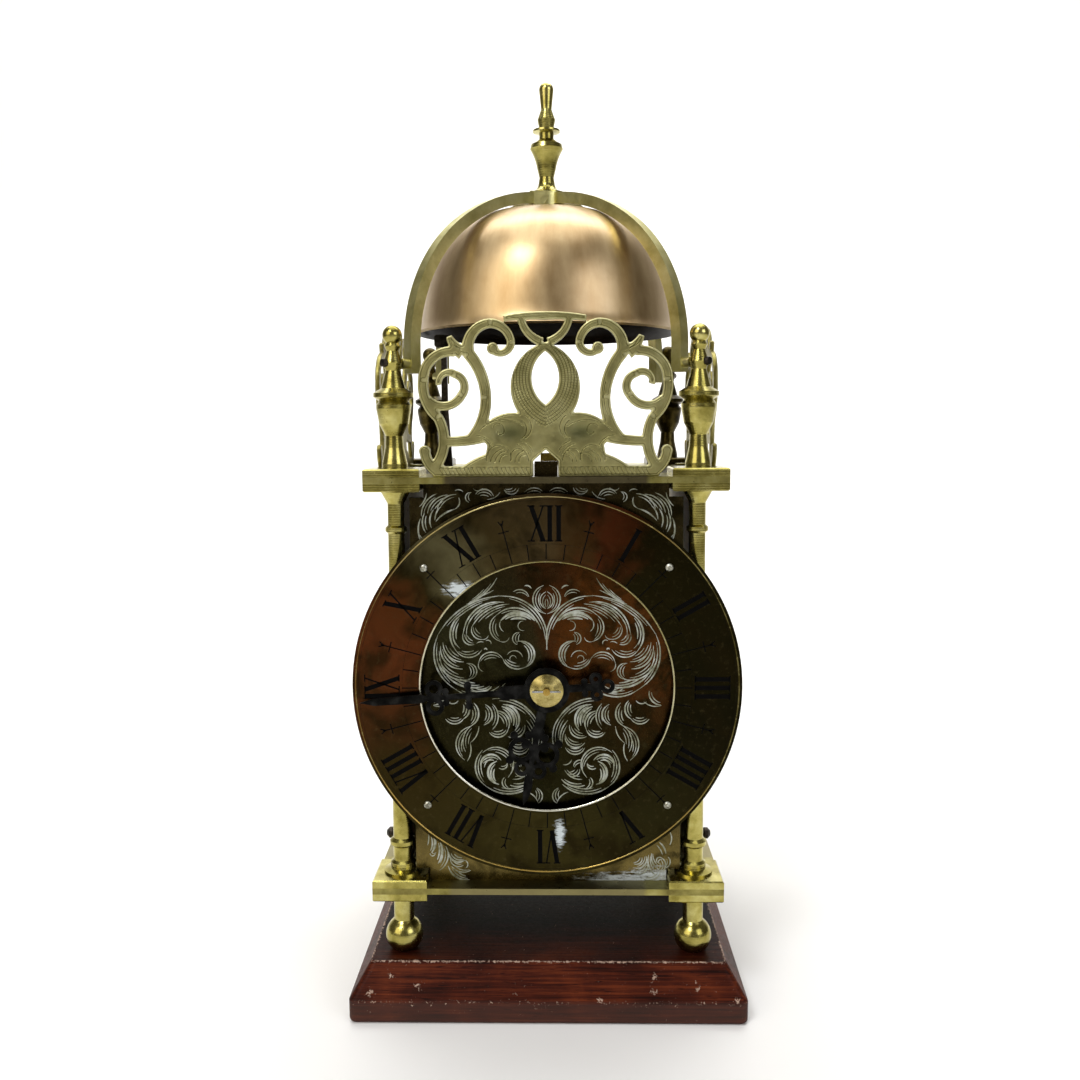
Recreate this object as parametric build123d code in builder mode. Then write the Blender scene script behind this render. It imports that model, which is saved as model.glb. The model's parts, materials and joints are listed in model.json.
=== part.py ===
"""Lantern clock on a wooden plinth: brass posted frame, bell, frets, dial, hands and a two-train movement.

Millimetres. +Z is up, the dial faces -Y, and the origin is the centre of the plinth's underside.
"""

import os
from math import atan2, cos, degrees, radians, sin, sqrt

from build123d import *

# ---------------------------------------------------------------- driving dimensions
# plinth
plinth_base = 170.6
plinth_top = 153.5
plinth_band = 10.0
plinth_height = 24.0
plinth_corner = 3.0
plinth_edge = 2.2

# posted frame: four corner posts between two square plates
post_pitch = 127.5
block_side = 23.5
block_height = 3.4
plate_thickness = 2.7
bottom_plate_z = 53.4
top_plate_z = 230.2
stud_radius = 2.5
running_gap = 0.1

# bun feet
bun_radius = 8.2
bun_height = 12.6

# bell and the strap that carries it
bell_radius = 62.0
bell_lip_z = 297.0
bell_wall = 2.2
strap_top_z = 361.0
strap_thickness = 5.0
strap_width = 5.2
strap_end_z = 276.0
clock_top_z = 411.3

# dial, ring and hands
dial_centre_z = 143.5
ring_radius = 82.5
ring_inner_radius = 53.7
ring_thickness = 1.8
ring_front_y = -72.0
dial_front_y = -66.5
dial_thickness = 1.8
hour_hand_angle = 191.5
minute_hand_angle = 266.0
hour_hand_length = 52.0
minute_hand_length = 79.0

# frets on the top plate
fret_back_y = -71.5
fret_thickness = 2.0
fret_foot_x = 38.0
fret_foot = 6.0

# striking: the pin wheel, and the hammer's upright stem on its arbor in the movement
pin_wheel_front = 4.0
pin_end_y = 7.6
lifting_pins = 8
lifting_pin_radius = 13.2
hammer_y = 15.0
hammer_arbor = (-46.0, 178.0)
hammer_head_x = -50.8
hammer_head_z = 295.0

# movement plates and pivots
front_plate_y = -42.0
rear_plate_y = 22.0
movement_plate = 2.5
movement_half_width = 50.0
movement_top_z = 212.0
movement_corners = ((-36.0, 204.0), (44.0, 204.0), (-44.0, 100.0), (44.0, 100.0))
pivot_radius = 0.7
pivot_gap = 0.06
end_shake = 0.4

# barrels and their arbors
barrel_x = 25.2
barrel_z = 131.3
barrel_radius = 21.5
barrel_teeth = 48
barrel_module = 1.0
barrel_arbor = 2.5
barrel_pivot = 2.4
winding_square_end = 58.0
winding_hole = 5.5

# hands and motion work, one behind the other on the centre arbor
centre_arbor = 1.5
cannon_pipe = 2.4
hour_pipe = 3.6
hand_thickness = 1.0
minute_hand_y = -76.2
hour_hand_y = -73.7
hand_pin_y = -78.65
centre_front_y = -79.6
cannon_front = -46.2
minute_pinion_front = -50.4
hour_wheel_front = -49.8
motion_module = 0.857

# escapement
escape_radius = 8.5
escape_front = -20.0
pallet_span = (6.4, 8.6)
balance_radius = 10.0

# ---------------------------------------------------------------- worked-out dimensions
post = post_pitch / 2
plate_side = post_pitch + block_side
lower_plate_top = bottom_plate_z + plate_thickness
upper_plate_top = top_plate_z + plate_thickness
corners = {
    "front_left": (-post, -post),
    "front_right": (post, -post),
    "rear_left": (-post, post),
    "rear_right": (post, post),
}
diagonals = (45, 135, 225, 315)

# panels between the plates
panel_narrow = post - block_side / 2 - 0.4
panel_wide = post - 6.2
panel_low = lower_plate_top + block_height + 2.1
panel_high = top_plate_z - block_height - 2.8
low_lugs = (-43.8, 43.8)
low_lug = (5.0, 5.6)
high_lugs = (0.0,)
high_lug = (9.6, 8.8)
back_cover_y = post - 0.6
ring_feet_radius = 72.6
ring_foot_pin = 1.2
bracket_x = 44.0

# doors
door_x = post - 0.5
door_thickness = 1.4
door_axis_y = panel_narrow - 1.4
door_pin = 1.1
knob_y = -51.0
knob_z = 71.5

# bell fixings
finial_bulb = 4.1
strap_screw_z = upper_plate_top + block_height + 43.7
strap_screw = 0.85
bell_stud = 2.0
bell_crown_z = 353.4
crown_bend = 91.0
haunch_bend = 69.8
haunch_angle = 53.6
strap_reach = (crown_bend - haunch_bend) * cos(radians(haunch_angle)) + haunch_bend
pad_reach = post * sqrt(2) - finial_bulb - strap_reach
tongue_front = 9.4

os.makedirs("parts", exist_ok=True)


# ---------------------------------------------------------------- helpers
def save(builder, name):
    """Label a finished piece and write it."""
    builder.part.label = name
    export_step(builder.part, f"parts/{name}.step")


def upright(x, y):
    """A plane through a vertical axis: local x is the radius and local y the height."""
    return Plane(origin=(x, y, 0), x_dir=(1, 0, 0), z_dir=(0, -1, 0))


def along(x, z):
    """A plane through a front-to-back axis: local x is the radius and local y the depth."""
    return Plane(origin=(x, 0, z), x_dir=(1, 0, 0), z_dir=(0, 0, 1))


def facing(x, y, z, angle=90.0):
    """A plane that faces the front. Its local x points at the clock angle, clockwise from 12."""
    turn = radians(angle)
    return Plane(origin=(x, y, z), x_dir=(sin(turn), 0, cos(turn)), z_dir=(0, -1, 0))


def outline(points, start, end):
    """Lines and arcs through (radius, height, bulge) points, closed along the axis."""
    here = (0, start)
    for radius, height, *bulge in points:
        there = (radius, height)
        if bulge:
            SagittaArc(here, there, -bulge[0])
        else:
            Line(here, there)
        here = there
    if here != (0, end):
        Line(here, (0, end))
    Line((0, end), (0, start))


def turned(plane, points, start, end, mode=Mode.ADD):
    """Revolve an outline about the local y axis of its plane."""
    with BuildSketch(plane) as section:
        with BuildLine():
            outline(points, start, end)
        make_face()
    revolve(section.sketch, axis=Axis(plane.origin, plane.y_dir), mode=mode)


def rod(plane, radius, start, end, mode=Mode.ADD):
    """A plain cylinder on the plane's local y axis."""
    turned(plane, [(radius, start), (radius, end)], start, end, mode)


def band(start, middle, end, width_start, width_end):
    """A flat strip along an arc, with its width growing from one end to the other."""
    with BuildLine() as rim_lines:
        middle_line = ThreePointArc(start, middle, end, mode=Mode.PRIVATE)
        sides = []
        for side in (1, -1):
            rim = []
            for share in (0, 0.5, 1):
                width = width_start + (width_end - width_start) * share
                normal = (middle_line % share).rotate(Axis.Z, 90 * side)
                rim.append((middle_line @ share) + normal * width / 2)
            sides.append(ThreePointArc(*rim))
        Line(sides[0] @ 0, sides[1] @ 0)
        Line(sides[0] @ 1, sides[1] @ 1)
    make_face(rim_lines.edges())


def tooth_ring(teeth, module, tooth_at):
    """The corner points of a wheel with pointed clock teeth, one tooth centred at tooth_at degrees."""
    radius = teeth * module / 2
    tip, root = radius + 0.7 * module, radius - 1.6 * module
    points = []
    for step in range(2 * teeth):
        angle = radians(tooth_at + (step - 1) * 180 / teeth)
        reach = tip if step % 2 else root
        points.append((reach * cos(angle), reach * sin(angle)))
    return points


def toothed_disc(centre, teeth, module, tooth_at, front, back):
    """A toothed wheel or pinion between two depths, front being the smaller y."""
    with BuildSketch(facing(centre[0], back, centre[1])) as wheel:
        with BuildLine():
            Polyline(*tooth_ring(teeth, module, tooth_at), close=True)
        make_face()
    extrude(wheel.sketch, amount=back - front)


def beside(centre, distance, angle):
    """The point at a distance and an angle from a centre."""
    turn = radians(angle)
    return (centre[0] + distance * cos(turn), centre[1] + distance * sin(turn))


def spacing(wheel, pinion, module):
    """The distance between the arbors of a wheel and the pinion it drives."""
    return (wheel + pinion) / 2 * module

# ---------------------------------------------------------------- where the arbors stand
centre_axis = (0.0, dial_centre_z)
going_arbor = (barrel_x, barrel_z)
strike_arbor = (-barrel_x, barrel_z)
minute_arbor = (0.0, dial_centre_z - spacing(42, 14, motion_module))

going_angle = degrees(atan2(dial_centre_z - barrel_z, -barrel_x))
third_angle, fourth_angle, escape_angle = 60.0, 120.0, 20.0
third_arbor = beside(centre_axis, spacing(56, 7, 0.7), third_angle)
fourth_arbor = beside(third_arbor, spacing(60, 8, 0.6), fourth_angle)
escape_arbor = beside(fourth_arbor, spacing(56, 7, 0.5), escape_angle)
pallet_arbor = beside(escape_arbor, 12.5, -8.0)
balance_arbor = beside(pallet_arbor, 11.0, -8.0)

pin_angle, warning_angle, fly_angle = 102.0, 50.0, 75.0
pin_arbor = beside(strike_arbor, spacing(barrel_teeth, 8, barrel_module), pin_angle)
warning_arbor = beside(pin_arbor, spacing(48, 8, 0.7), warning_angle)
fly_arbor = beside(warning_arbor, spacing(42, 7, 0.6), fly_angle)


# ---------------------------------------------------------------- plinth and posted frame
def plinth():
    """A wooden base: an upright band with rounded corners, canted in to a smaller top."""
    with BuildPart() as base:
        with BuildSketch(Plane.XY):
            RectangleRounded(plinth_base, plinth_base, plinth_corner)
        extrude(amount=plinth_band)
        fillet(base.faces().sort_by(Axis.Z)[0].edges(), plinth_edge)
        with BuildSketch(Plane.XY.offset(plinth_band)):
            RectangleRounded(plinth_base, plinth_base, plinth_corner)
        with BuildSketch(Plane.XY.offset(plinth_height)):
            RectangleRounded(plinth_top, plinth_top, plinth_corner)
        loft(ruled=True)
    save(base, "plinth")


def square_block(x, y, low, high, edges_up):
    """A square plate of a post, its free edges softened."""
    with BuildSketch(Plane.XY.offset(low)) as square:
        with Locations((x, y)):
            Rectangle(block_side, block_side)
    extrude(square.sketch, amount=high - low)
    rim = low if not edges_up else high
    here = edges().filter_by(lambda e: abs(e.center().Z - rim) < 0.01 and e.length > block_side - 0.1)
    chamfer(here, 0.6)


def foot(name, x, y):
    top = bottom_plate_z
    neck = top - block_height
    bun_end = sqrt(bun_radius**2 - (bun_height / 2) ** 2)
    bun_top = plinth_height + bun_height
    bun = [
        (bun_end, plinth_height),
        (bun_end, bun_top, bun_radius - bun_end),
        (4.4, bun_top + 1.0),
        (4.4, neck - 3.0),
        (5.8, neck),
    ]
    with BuildPart() as ball_foot:
        turned(upright(x, y), bun, plinth_height, neck)
        square_block(x, y, neck, top, edges_up=False)
        rod(upright(x, y), stud_radius + running_gap, top - 9.0, top, Mode.SUBTRACT)
    save(ball_foot, f"{name}_foot")


def pillar(name, x, y):
    low, high = lower_plate_top, top_plate_z
    base, neck = low + block_height, high - block_height
    shaft = [
        (8.2, base),
        (8.2, base + 0.9),
        (5.3, base + 1.7),
        (5.3, base + 4.4),
        (4.15, base + 5.4),
        (4.15, base + 11.4),
        (5.5, base + 12.6),
        (5.5, base + 14.2),
        (4.1, base + 15.4),
        (3.5, 208.6),
        (4.6, 209.6),
        (4.6, 211.2),
        (3.5, 212.2),
        (3.5, neck - 5.4),
        (6.5, neck),
    ]
    with BuildPart() as post_piece:
        square_block(x, y, low, base, edges_up=True)
        turned(upright(x, y), shaft, base, neck)
        square_block(x, y, neck, high, edges_up=False)
        rod(upright(x, y), stud_radius, bottom_plate_z - 8.0, low)
        rod(upright(x, y), stud_radius, high, upper_plate_top + 8.0)
    save(post_piece, f"{name}_pillar")


def finial(name, x, y):
    low = upper_plate_top
    base = low + block_height
    vase = [
        (5.4, base),
        (5.4, base + 1.8),
        (3.9, base + 8.6),
        (3.6, base + 13.5),
        (6.2, base + 18.6),
        (7.3, base + 24.8),
        (7.3, base + 26.4),
        (6.1, base + 28.0),
        (8.4, base + 29.6),
        (8.4, base + 31.3),
        (5.2, base + 33.3),
        (3.1, base + 40.5),
        (4.1, base + 43.7),
        (2.5, base + 48.6),
        (3.4, base + 50.6),
        (2.4, base + 52.4),
    ]
    ball, top = 4.1, base + 59.2
    towards_axis = atan2(-y, -x)
    with BuildPart() as corner_finial:
        square_block(x, y, low, base, edges_up=True)
        turned(upright(x, y), vase, base, base + 52.4)
        with Locations((x, y, top - ball)):
            Sphere(ball)
        rod(upright(x, y), stud_radius + running_gap, low, low + 9.0, Mode.SUBTRACT)
        bore = Plane(origin=(x, y, strap_screw_z), z_dir=(cos(towards_axis), sin(towards_axis), 0))
        with BuildSketch(bore):
            Circle(0.95)
        extrude(amount=12, both=True, mode=Mode.SUBTRACT)
    save(corner_finial, f"{name}_finial")


def frame_plate(low):
    """A square brass plate with holes for the posts and the door pivots."""
    with BuildSketch(Plane.XY.offset(low)) as square:
        Rectangle(plate_side, plate_side)
        with Locations(*corners.values()):
            Circle(stud_radius + running_gap, mode=Mode.SUBTRACT)
        with Locations((-door_x, door_axis_y), (door_x, door_axis_y)):
            Circle(door_pin + 0.08, mode=Mode.SUBTRACT)
    extrude(square.sketch, amount=plate_thickness)


def lug_slots(low, lugs, width):
    """Slots that take the lugs of the dial plate and of the back cover."""
    places = [(x, y + dial_thickness / 2) for x in lugs for y in (dial_front_y, back_cover_y)]
    with BuildSketch(Plane.XY.offset(low)) as slots:
        with Locations(*places):
            Rectangle(width + 2 * running_gap, dial_thickness + 2 * running_gap)
    extrude(slots.sketch, amount=plate_thickness, mode=Mode.SUBTRACT)


def bottom_plate():
    with BuildPart() as plate:
        frame_plate(bottom_plate_z)
        lug_slots(bottom_plate_z, low_lugs, low_lug[0])
    save(plate, "bottom_plate")


def top_plate():
    with BuildPart() as plate:
        frame_plate(top_plate_z)
        lug_slots(top_plate_z, high_lugs, high_lug[0])
        with BuildSketch(Plane.XY.offset(top_plate_z)):
            with Locations((hammer_arbor[0] + 4.0, hammer_y)):
                SlotOverall(20.0, 8.0)
        extrude(amount=plate_thickness, mode=Mode.SUBTRACT)
    save(plate, "top_plate")


# ---------------------------------------------------------------- dolphin frets
def fret_half(base):
    """The left half of a dolphin fret, heights counted from its base."""
    with Locations((-26.0, base + 2.2)):
        Rectangle(41.6, 4.4)
    strips = [
        # the outer stem, rising from the corner curl into the large scroll
        ((-44.6, 2.2), (-48.4, 6.0), (-49.8, 10.4), 4.6, 4.4),
        ((-46.5, 3.0), (-41.9, 13.5), (-44.2, 24.5), 4.6, 4.2),
        ((-44.2, 24.5), (-49.2, 31.8), (-50.0, 39.6), 4.2, 4.2),
        ((-50.0, 39.6), (-46.8, 47.6), (-36.8, 51.0), 4.2, 4.0),
        # the curl inside it
        ((-48.2, 31.8), (-41.0, 29.0), (-34.4, 33.4), 3.6, 3.6),
        ((-34.4, 33.4), (-33.3, 38.4), (-37.0, 41.9), 3.6, 3.2),
        ((-37.0, 41.9), (-41.8, 42.0), (-43.6, 37.6), 3.2, 2.4),
        # leaf bud above the scroll
        ((-33.6, 50.5), (-36.8, 53.2), (-39.2, 57.2), 6.0, 2.4),
        # the bridge and the tall S-stem
        ((-41.6, 14.6), (-34.0, 14.8), (-26.0, 16.2), 4.0, 4.6),
        ((-30.4, 15.6), (-25.4, 24.8), (-24.4, 32.5), 4.8, 4.4),
        ((-24.4, 32.5), (-26.0, 41.2), (-31.4, 50.4), 4.4, 5.0),
        # the upper scroll
        ((-31.2, 50.0), (-28.8, 59.4), (-22.2, 62.3), 5.0, 3.8),
        ((-22.2, 62.3), (-16.2, 59.6), (-13.9, 54.6), 3.8, 3.4),
        ((-13.9, 54.6), (-16.0, 51.0), (-20.6, 50.8), 3.4, 2.6),
        # the tail fork and the fluke that spans it
        ((-1.0, 54.6), (-7.0, 58.4), (-9.8, 64.4), 3.6, 3.0),
        ((-16.8, 64.2), (-8.4, 65.1), (0.2, 65.2), 2.4, 3.4),
    ]
    for start, middle, end, width_start, width_end in strips:
        raised = [(x, z + base) for x, z in (start, middle, end)]
        band(*raised, width_start, width_end)
    with Locations((-49.8, base + 10.6), (-21.4, base + 52.2)):
        Circle(2.4)
    # the crossed bodies, the dolphin's head and the hatched fins under it
    with BuildLine() as dolphin:
        crossing = (0, base + 54.6)
        brow = (-11.0, base + 26.0)
        snout = (-28.0, base + 17.0)
        mouth = (-24.0, base + 13.0)
        ThreePointArc(crossing, (-14.1, base + 38.5), brow)
        ThreePointArc(brow, (-20.6, base + 24.6), snout)
        Line(snout, mouth)
        Line(mouth, (-24.6, base + 9.4))
        ThreePointArc((-24.6, base + 9.4), (-29.8, base + 7.2), (-34.6, base + 4.0))
        Polyline((-34.6, base + 4.0), (-5.2, base + 4.0), (-5.2, base + 6.4), (0, base + 11.1), crossing)
    make_face(dolphin.edges())
    with BuildLine() as eye_hole:
        top, low = (0, base + 51.1), (0, base + 29.4)
        ThreePointArc(top, (-5.6, base + 40.2), low)
        Line(low, top)
    make_face(eye_hole.edges(), mode=Mode.SUBTRACT)


def fret(name, plane):
    """A pierced fret on its plane, with two feet turned back onto the top plate."""
    base = upper_plate_top
    with BuildPart() as pierced:
        with BuildSketch(plane):
            fret_half(base)
            mirror(about=Plane.YZ)
        extrude(amount=fret_thickness)
        behind = Plane(origin=plane.origin + Vector(0, 0, base), x_dir=plane.x_dir, z_dir=(0, 0, 1))
        with BuildSketch(behind):
            with Locations((-fret_foot_x, fret_foot / 2), (fret_foot_x, fret_foot / 2)):
                Rectangle(7.0, fret_foot)
        extrude(amount=1.2)
    save(pierced, name)


def frets():
    away = fret_back_y
    fret("front_fret", Plane(origin=(0, away, 0), x_dir=(1, 0, 0), z_dir=(0, -1, 0)))
    fret("left_fret", Plane(origin=(away, 0, 0), x_dir=(0, -1, 0), z_dir=(-1, 0, 0)))
    fret("right_fret", Plane(origin=(-away, 0, 0), x_dir=(0, 1, 0), z_dir=(1, 0, 0)))


# ---------------------------------------------------------------- bell, strap and their fixings
def strap_side(inset):
    """One side of a strap arm from crown to end: crown arc, haunch arc and straight leg."""
    turn = radians(haunch_angle)
    crown_centre = (0, strap_top_z - crown_bend)
    step = crown_bend - haunch_bend
    haunch_centre = (step * cos(turn), crown_centre[1] + step * sin(turn))
    side_x = haunch_centre[0] + haunch_bend - inset
    end = (side_x, strap_end_z)
    CenterArc(crown_centre, crown_bend - inset, haunch_angle, 90 - haunch_angle)
    CenterArc(haunch_centre, haunch_bend - inset, 0, haunch_angle)
    Line((side_x, haunch_centre[1]), end)
    return (0, strap_top_z - inset), end


def diagonal(angle):
    """An upright plane through the clock's axis, its local x pointing outward at the angle."""
    turn = radians(angle)
    return Plane(origin=(0, 0, 0), x_dir=(cos(turn), sin(turn), 0), z_dir=(sin(turn), -cos(turn), 0))


def outward(angle, reach):
    """A plane facing outward along a diagonal, at the height of the strap's screws."""
    turn = radians(angle)
    out = (cos(turn), sin(turn), 0)
    return Plane(origin=(reach * out[0], reach * out[1], strap_screw_z), z_dir=out)


def strap_tongue():
    """A short pointed leaf of brass that hangs from the front of the strap's boss."""
    middle, half, tip, depth = -3.4, 4.2, strap_top_z - 7.6, 3.0
    with BuildSketch(Plane.XZ.offset(tongue_front - depth)) as leaf:
        with BuildLine() as edge:
            ThreePointArc((middle - half, strap_top_z), (middle - 0.8 * half, tip + 3.0), (middle, tip))
            ThreePointArc((middle, tip), (middle + 0.8 * half, tip + 3.0), (middle + half, strap_top_z))
            Line((middle + half, strap_top_z), (middle - half, strap_top_z))
        make_face(edge.edges())
    extrude(leaf.sketch, amount=depth)


def bell_strap():
    """Two crossed arches: a boss where they meet, and at each end a pad against the finial."""
    with BuildPart() as strap:
        for angle in diagonals:
            with BuildSketch(diagonal(angle)) as arm:
                with BuildLine() as sides:
                    top_out, end_out = strap_side(0)
                    top_in, end_in = strap_side(strap_thickness)
                    Line(top_out, top_in)
                    Line(end_out, end_in)
                make_face(sides.edges())
            extrude(arm.sketch, amount=strap_width / 2, both=True)
            with BuildSketch(outward(angle, strap_reach - 1.0)) as pad:
                Circle(2.2)
            extrude(pad.sketch, amount=pad_reach + 1.0)
        rod(upright(0, 0), 8.2, bell_crown_z, strap_top_z)
        strap_tongue()
        rod(upright(0, 0), bell_stud + running_gap, bell_crown_z, strap_top_z, Mode.SUBTRACT)
        for angle in diagonals:
            with BuildSketch(outward(angle, strap_reach - 2 * strap_thickness)) as bore:
                Circle(strap_screw + running_gap)
            extrude(bore.sketch, amount=20, mode=Mode.SUBTRACT)
    save(strap, "bell_strap")


def strap_screws():
    """Four round-headed screws through the finials' bulbs into the ends of the strap."""
    head_at = post * sqrt(2) + finial_bulb
    with BuildPart() as screws:
        for angle in diagonals:
            with BuildSketch(outward(angle, strap_reach - strap_thickness)) as shank:
                Circle(strap_screw)
            extrude(shank.sketch, amount=head_at - strap_reach + strap_thickness)
            with BuildSketch(outward(angle, head_at)) as head:
                Circle(1.9)
            extrude(head.sketch, amount=1.4, taper=15)
    save(screws, "strap_screws")


def bell_side(inset):
    """The bell's profile from lip to crown, its shoulder an arc about one centre, inset from outside."""
    centre, bend = (26.0, bell_crown_z - 24.4), 20.0 - inset
    low, high = radians(22.8), radians(78.4)
    shoulder = [(centre[0] + bend * cos(turn), centre[1] + bend * sin(turn)) for turn in (low, high)]
    sagitta = bend * (1 - cos((high - low) / 2))
    lip = bell_lip_z - (1.0 if inset else 0)
    return [
        (bell_radius - inset, lip),
        (58.6 - inset, bell_lip_z + 4.2),
        (56.5 - inset, bell_lip_z + 11.0),
        shoulder[0],
        (*shoulder[1], sagitta),
        (9.0, bell_crown_z - inset),
    ]


def bell():
    """A deep bell with a flat crown, a round shoulder and a flared lip."""
    inside_top = bell_crown_z - bell_wall
    with BuildPart() as shell:
        turned(upright(0, 0), bell_side(0), bell_lip_z, bell_crown_z)
        turned(upright(0, 0), bell_side(bell_wall), bell_lip_z - 1.0, inside_top, Mode.SUBTRACT)
        rod(upright(0, 0), bell_stud + running_gap, inside_top, bell_crown_z, Mode.SUBTRACT)
    save(shell, "bell")


def bell_finial():
    """The tall turned finial; its stud passes through the strap and hangs the bell."""
    base, ball = strap_top_z, 3.4
    turning = [
        (8.3, base),
        (8.3, base + 0.7),
        (3.9, base + 4.6, -1.0),
        (3.4, base + 7.6),
        (4.3, base + 11.2),
        (7.7, base + 20.4, -0.5),
        (7.2, base + 22.4),
        (3.4, base + 24.8),
        (3.4, base + 27.6),
        (6.3, base + 28.0),
        (6.3, base + 28.9),
        (3.4, base + 29.6),
        (4.2, base + 33.6),
        (2.5, base + 38.2),
        (ball, clock_top_z - ball),
    ]
    with BuildPart() as turning_piece:
        turned(upright(0, 0), turning, base, clock_top_z - ball)
        with Locations((0, 0, clock_top_z - ball)):
            Sphere(ball)
        rod(upright(0, 0), bell_stud, bell_crown_z - 8.0, base)
    save(turning_piece, "bell_finial")


def bell_nut():
    """The square nut under the bell's crown."""
    seat = bell_crown_z - bell_wall
    with BuildPart() as nut:
        with BuildSketch(Plane.XY.offset(seat - 3.6)):
            Rectangle(7.0, 7.0)
            Circle(bell_stud + running_gap, mode=Mode.SUBTRACT)
        extrude(amount=3.6)
    save(nut, "bell_nut")


# ---------------------------------------------------------------- dial, ring, back cover and doors
def panel_face(low, high):
    """The face of a panel between the plates, notched round the blocks and feet of the posts."""
    with Locations((0, (low + high) / 2)):
        Rectangle(2 * panel_narrow, high - low)
    with Locations((0, (panel_low + panel_high) / 2)):
        Rectangle(2 * panel_wide, panel_high - panel_low)


def lugged_panel(front, holes):
    """A brass panel with lugs through the slots of both plates, and round holes."""
    low, high = lower_plate_top, top_plate_z
    with BuildSketch(facing(0, front + dial_thickness, 0)) as panel:
        panel_face(low, high)
        with Locations(*[(x, low - low_lug[1] / 2) for x in low_lugs]):
            Rectangle(*low_lug)
        with Locations(*[(x, high + high_lug[1] / 2) for x in high_lugs]):
            Rectangle(*high_lug)
        for x, z, radius in holes:
            with Locations((x, z)):
                Circle(radius, mode=Mode.SUBTRACT)
    extrude(panel.sketch, amount=dial_thickness)


def ring_feet():
    """Where the ring's four feet stand, on the diagonals of the dial."""
    reach = ring_feet_radius * sqrt(0.5)
    return [(x, z) for x in (-reach, reach) for z in (-reach, reach)]


def dial_plate():
    holes = [(x, dial_centre_z + z, ring_foot_pin + running_gap) for x, z in ring_feet()]
    with BuildPart() as plate:
        lugged_panel(dial_front_y, holes + [(0, dial_centre_z, hour_pipe + 0.8)])
    save(plate, "dial_plate")


def chapter_ring():
    """The hour ring, with four shouldered feet that pass through the dial plate."""
    ring_back = ring_front_y + ring_thickness
    foot_shape = [
        (2.4, ring_back),
        (2.4, dial_front_y),
        (ring_foot_pin, dial_front_y),
        (ring_foot_pin, dial_front_y + dial_thickness + 1.5),
    ]
    with BuildPart() as ring:
        with BuildSketch(facing(0, ring_back, dial_centre_z)):
            Circle(ring_radius)
            Circle(ring_inner_radius, mode=Mode.SUBTRACT)
        extrude(amount=ring_thickness)
        for x, z in ring_feet():
            turned(along(x, dial_centre_z + z), foot_shape, ring_back, foot_shape[-1][1])
    save(ring, "chapter_ring")


def back_cover():
    """The rear panel, with a hole behind each winding square."""
    with BuildPart() as cover:
        lugged_panel(back_cover_y, [(side * barrel_x, barrel_z, winding_hole) for side in (-1, 1)])
    save(cover, "back_cover")


def door(name, side):
    """A notched side door on two pivots near its rear edge, with a hole for its knob."""
    low, high = lower_plate_top + 0.4, top_plate_z - 0.4
    sheet = Plane(origin=(side * door_x - door_thickness / 2, 0, 0), x_dir=(0, 1, 0), z_dir=(1, 0, 0))
    with BuildPart() as panel:
        with BuildSketch(sheet):
            panel_face(low, high)
            with Locations((knob_y, knob_z)):
                Circle(0.9, mode=Mode.SUBTRACT)
        extrude(amount=door_thickness)
        rod(upright(side * door_x, door_axis_y), door_pin, bottom_plate_z + 0.2, upper_plate_top - 0.2)
    save(panel, name)


def door_knob(name, side):
    """A small turned knob riveted through the door."""
    inside, face = -door_thickness, 0.0
    shape = [
        (1.5, inside - 0.6),
        (1.5, inside),
        (0.85, inside),
        (0.85, face),
        (1.7, face),
        (1.0, face + 1.8),
        (1.0, face + 4.2),
        (2.5, face + 6.2),
        (2.5, face + 7.6),
        (1.2, face + 8.8),
    ]
    seat = (side * (door_x + door_thickness / 2), knob_y, knob_z)
    axis = Plane(origin=seat, x_dir=(0, 0, 1), z_dir=(0, side, 0))
    with BuildPart() as knob:
        turned(axis, shape, inside - 0.6, face + 8.8)
    save(knob, name)


# ---------------------------------------------------------------- hands
def hand_ring(u, v, radius, hole):
    """A pierced ring in a hand's outline."""
    with Locations((u, v)):
        Circle(radius)
        Circle(hole, mode=Mode.SUBTRACT)


def hand_blank(y, angle):
    """The sketch plane of a hand: local x runs from the centre to the tip."""
    return facing(0, y + hand_thickness, dial_centre_z, angle)


def hour_hand():
    """A pierced scroll hand on the hour pipe."""
    tip, blade_from = hour_hand_length, 39.0
    with BuildPart() as hand:
        with BuildSketch(hand_blank(hour_hand_y, hour_hand_angle)):
            for side in (-1, 1):
                hand_ring(28.2, side * 5.6, 5.4, 3.5)
                hand_ring(36.0, side * 3.6, 3.4, 1.7)
                buds = [(25.6, side * 4.2), (21.2, side * 3.4), (22.6, side * 9.6), (33.4, side * 9.4)]
                with Locations(*buds):
                    Circle(1.7)
            Circle(8.0)
            with Locations((13.0, 0)):
                Rectangle(14.0, 4.1)
            with Locations((19.5, 0)):
                Circle(2.9)
            with Locations((29.0, 0)):
                Rectangle(22.0, 2.2)
            with BuildLine() as blade:
                ThreePointArc((blade_from, 1.6), (44.5, 2.2), (tip, 0))
                ThreePointArc((tip, 0), (44.5, -1.4), (blade_from, -1.6))
                Line((blade_from, -1.6), (blade_from, 1.6))
            make_face(blade.edges())
            Circle(hour_pipe + 0.02, mode=Mode.SUBTRACT)
        extrude(amount=hand_thickness)
    save(hand, "hour_hand")


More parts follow.
